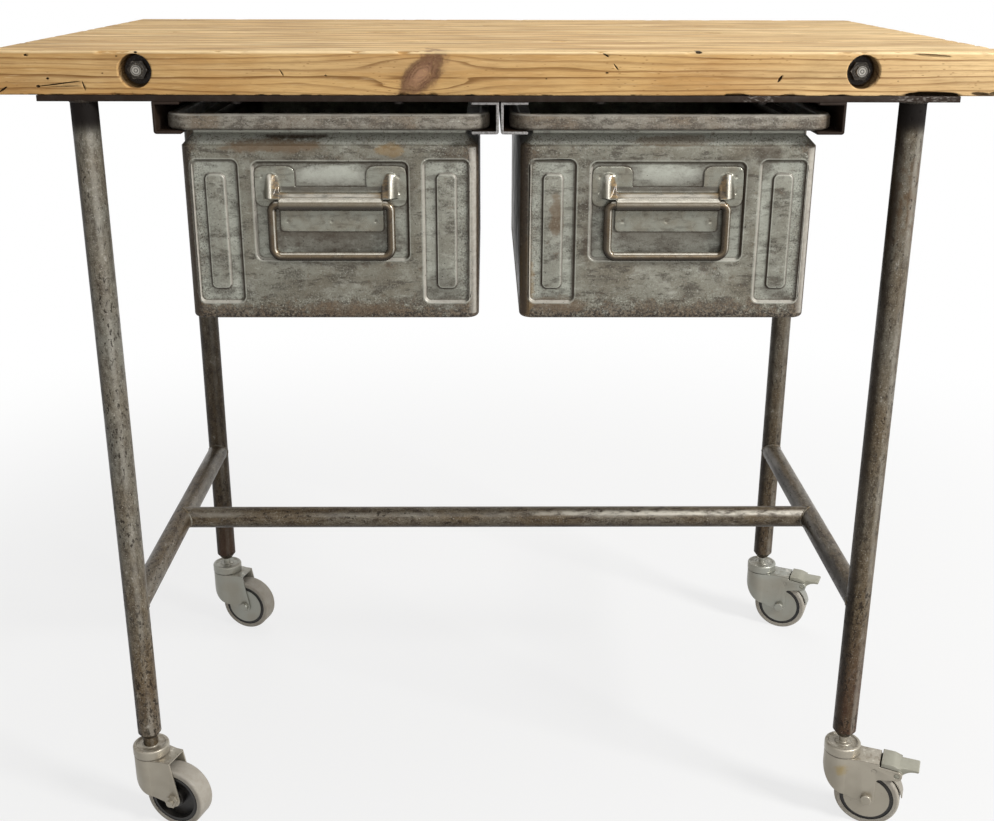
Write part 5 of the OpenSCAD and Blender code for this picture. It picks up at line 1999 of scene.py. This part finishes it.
    def _pressings(self, middle: float, shoulder: float) -> tuple[Pressing, ...]:
        """Lists the outlines of the pressings in a crate's front.

        Args:
            middle: Middle of the crate, left to right, in millimetres.
            shoulder: Height of the shoulder's lower edge.

        Returns:
            The side panels, the strips in them, and the middle panel.
        """
        places = [(middle + turn * self.panel_x, shoulder - self.panel_drop) for turn in (-1, 1)]
        return (
            *(Pressing(*place, *self.panel_size, self.recess_slope) for place in places),
            *(Pressing(*place, *self.strip_size, self.strip_slope, 6) for place in places),
            Pressing(middle, shoulder - self.recess_drop, *self.recess_size, self.recess_slope),
        )

    def _welded(self, middle: float, low: Vector, high: Vector) -> tuple[Pressing, ...]:
        """Lists the outlines of a handle plate: its lobes, its tab and what joins them.

        Args:
            middle: Middle of the crate, left to right, in millimetres.
            low: Lowest corner of the plate.
            high: Its highest corner.

        Returns:
            The outlines.
        """
        lobe, barrel = (high.x - low.x - self.notch) / 2, high.z - self.barrel_drop
        lobe_x, lobe_z = (self.notch + lobe) / 2, high.z - self.lobe_height / 2
        return (
            *(Pressing(middle + turn * lobe_x, lobe_z, lobe, self.lobe_height, 0, 8) for turn in (-1, 1)),
            Pressing(middle, (barrel + low.z) / 2, self.tab, barrel - low.z, 0, 4),
            Pressing(middle, high.z - (self.notch_height + self.barrel_drop) / 2,
                     self.notch + self.bridge_reach, self.barrel_drop - self.notch_height, 0, 0),
        )

    def _caster(self, corner: str, number: int) -> None:
        """Dresses one caster.

        Args:
            corner: "fl", "fr", "rl" or "rr".
            number: The caster's number, which moves its patterns.
        """
        caster, edges = f"caster_{corner}", self.pressed
        fork, stem = f"{caster}_fork", f"{caster}_stem"
        plating = Zinc(
            f"zinc_{corner}", 4.9 * number + 0.6, box_mm(fork)[1].z + 0.2,
            0.75 if corner.startswith("r") else 0.0, self.stain if corner == "fr" else None).build()
        edges.ease([fork], f"fork_{corner}", "caster_zinc", plating, edges.fork_edge)
        edges.ease([stem], "table", "caster_zinc", plating, edges.head_edge)
        rest = [node for node in nodes_of("caster_zinc", caster) if node not in (fork, stem)]
        self.workshop.paint(plating, rest)
        tyre = Moulding(f"tyre_{corner}", Tone.TYRE, Tone.TYRE_DUST, 0.45, 0.55, 0.05)
        core = Moulding(f"core_{corner}", Tone.CORE, Tone.TYRE_DUST, 0.08, 0.36, 0.02)
        pedal = Moulding(f"pedal_{corner}", Tone.PEDAL, Tone.PEDAL_WORN, 0.4, 0.42, 0.02)
        self.workshop.paint(tyre, [f"{caster}_tyre"])
        self.workshop.paint(core, [f"{caster}_core"])
        pedals = nodes_of("pedal_grey", caster)
        edges.ease(pedals, f"pedal_{corner}", "pedal_grey", pedal.build(), edges.pedal_edge)


def main() -> None:
    """Builds the table's looks in order."""
    logging.basicConfig(level=logging.INFO, format="%(name)s: %(message)s")
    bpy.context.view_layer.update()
    workshop = Workshop()
    Studio().build()
    Dressing(workshop, PressedParts(workshop)).build()
    Worktop(workshop).build()
    Welds(workshop).build()
    LOG.info("%d new pieces", workshop.made)


if __name__ == "__main__":
    main()
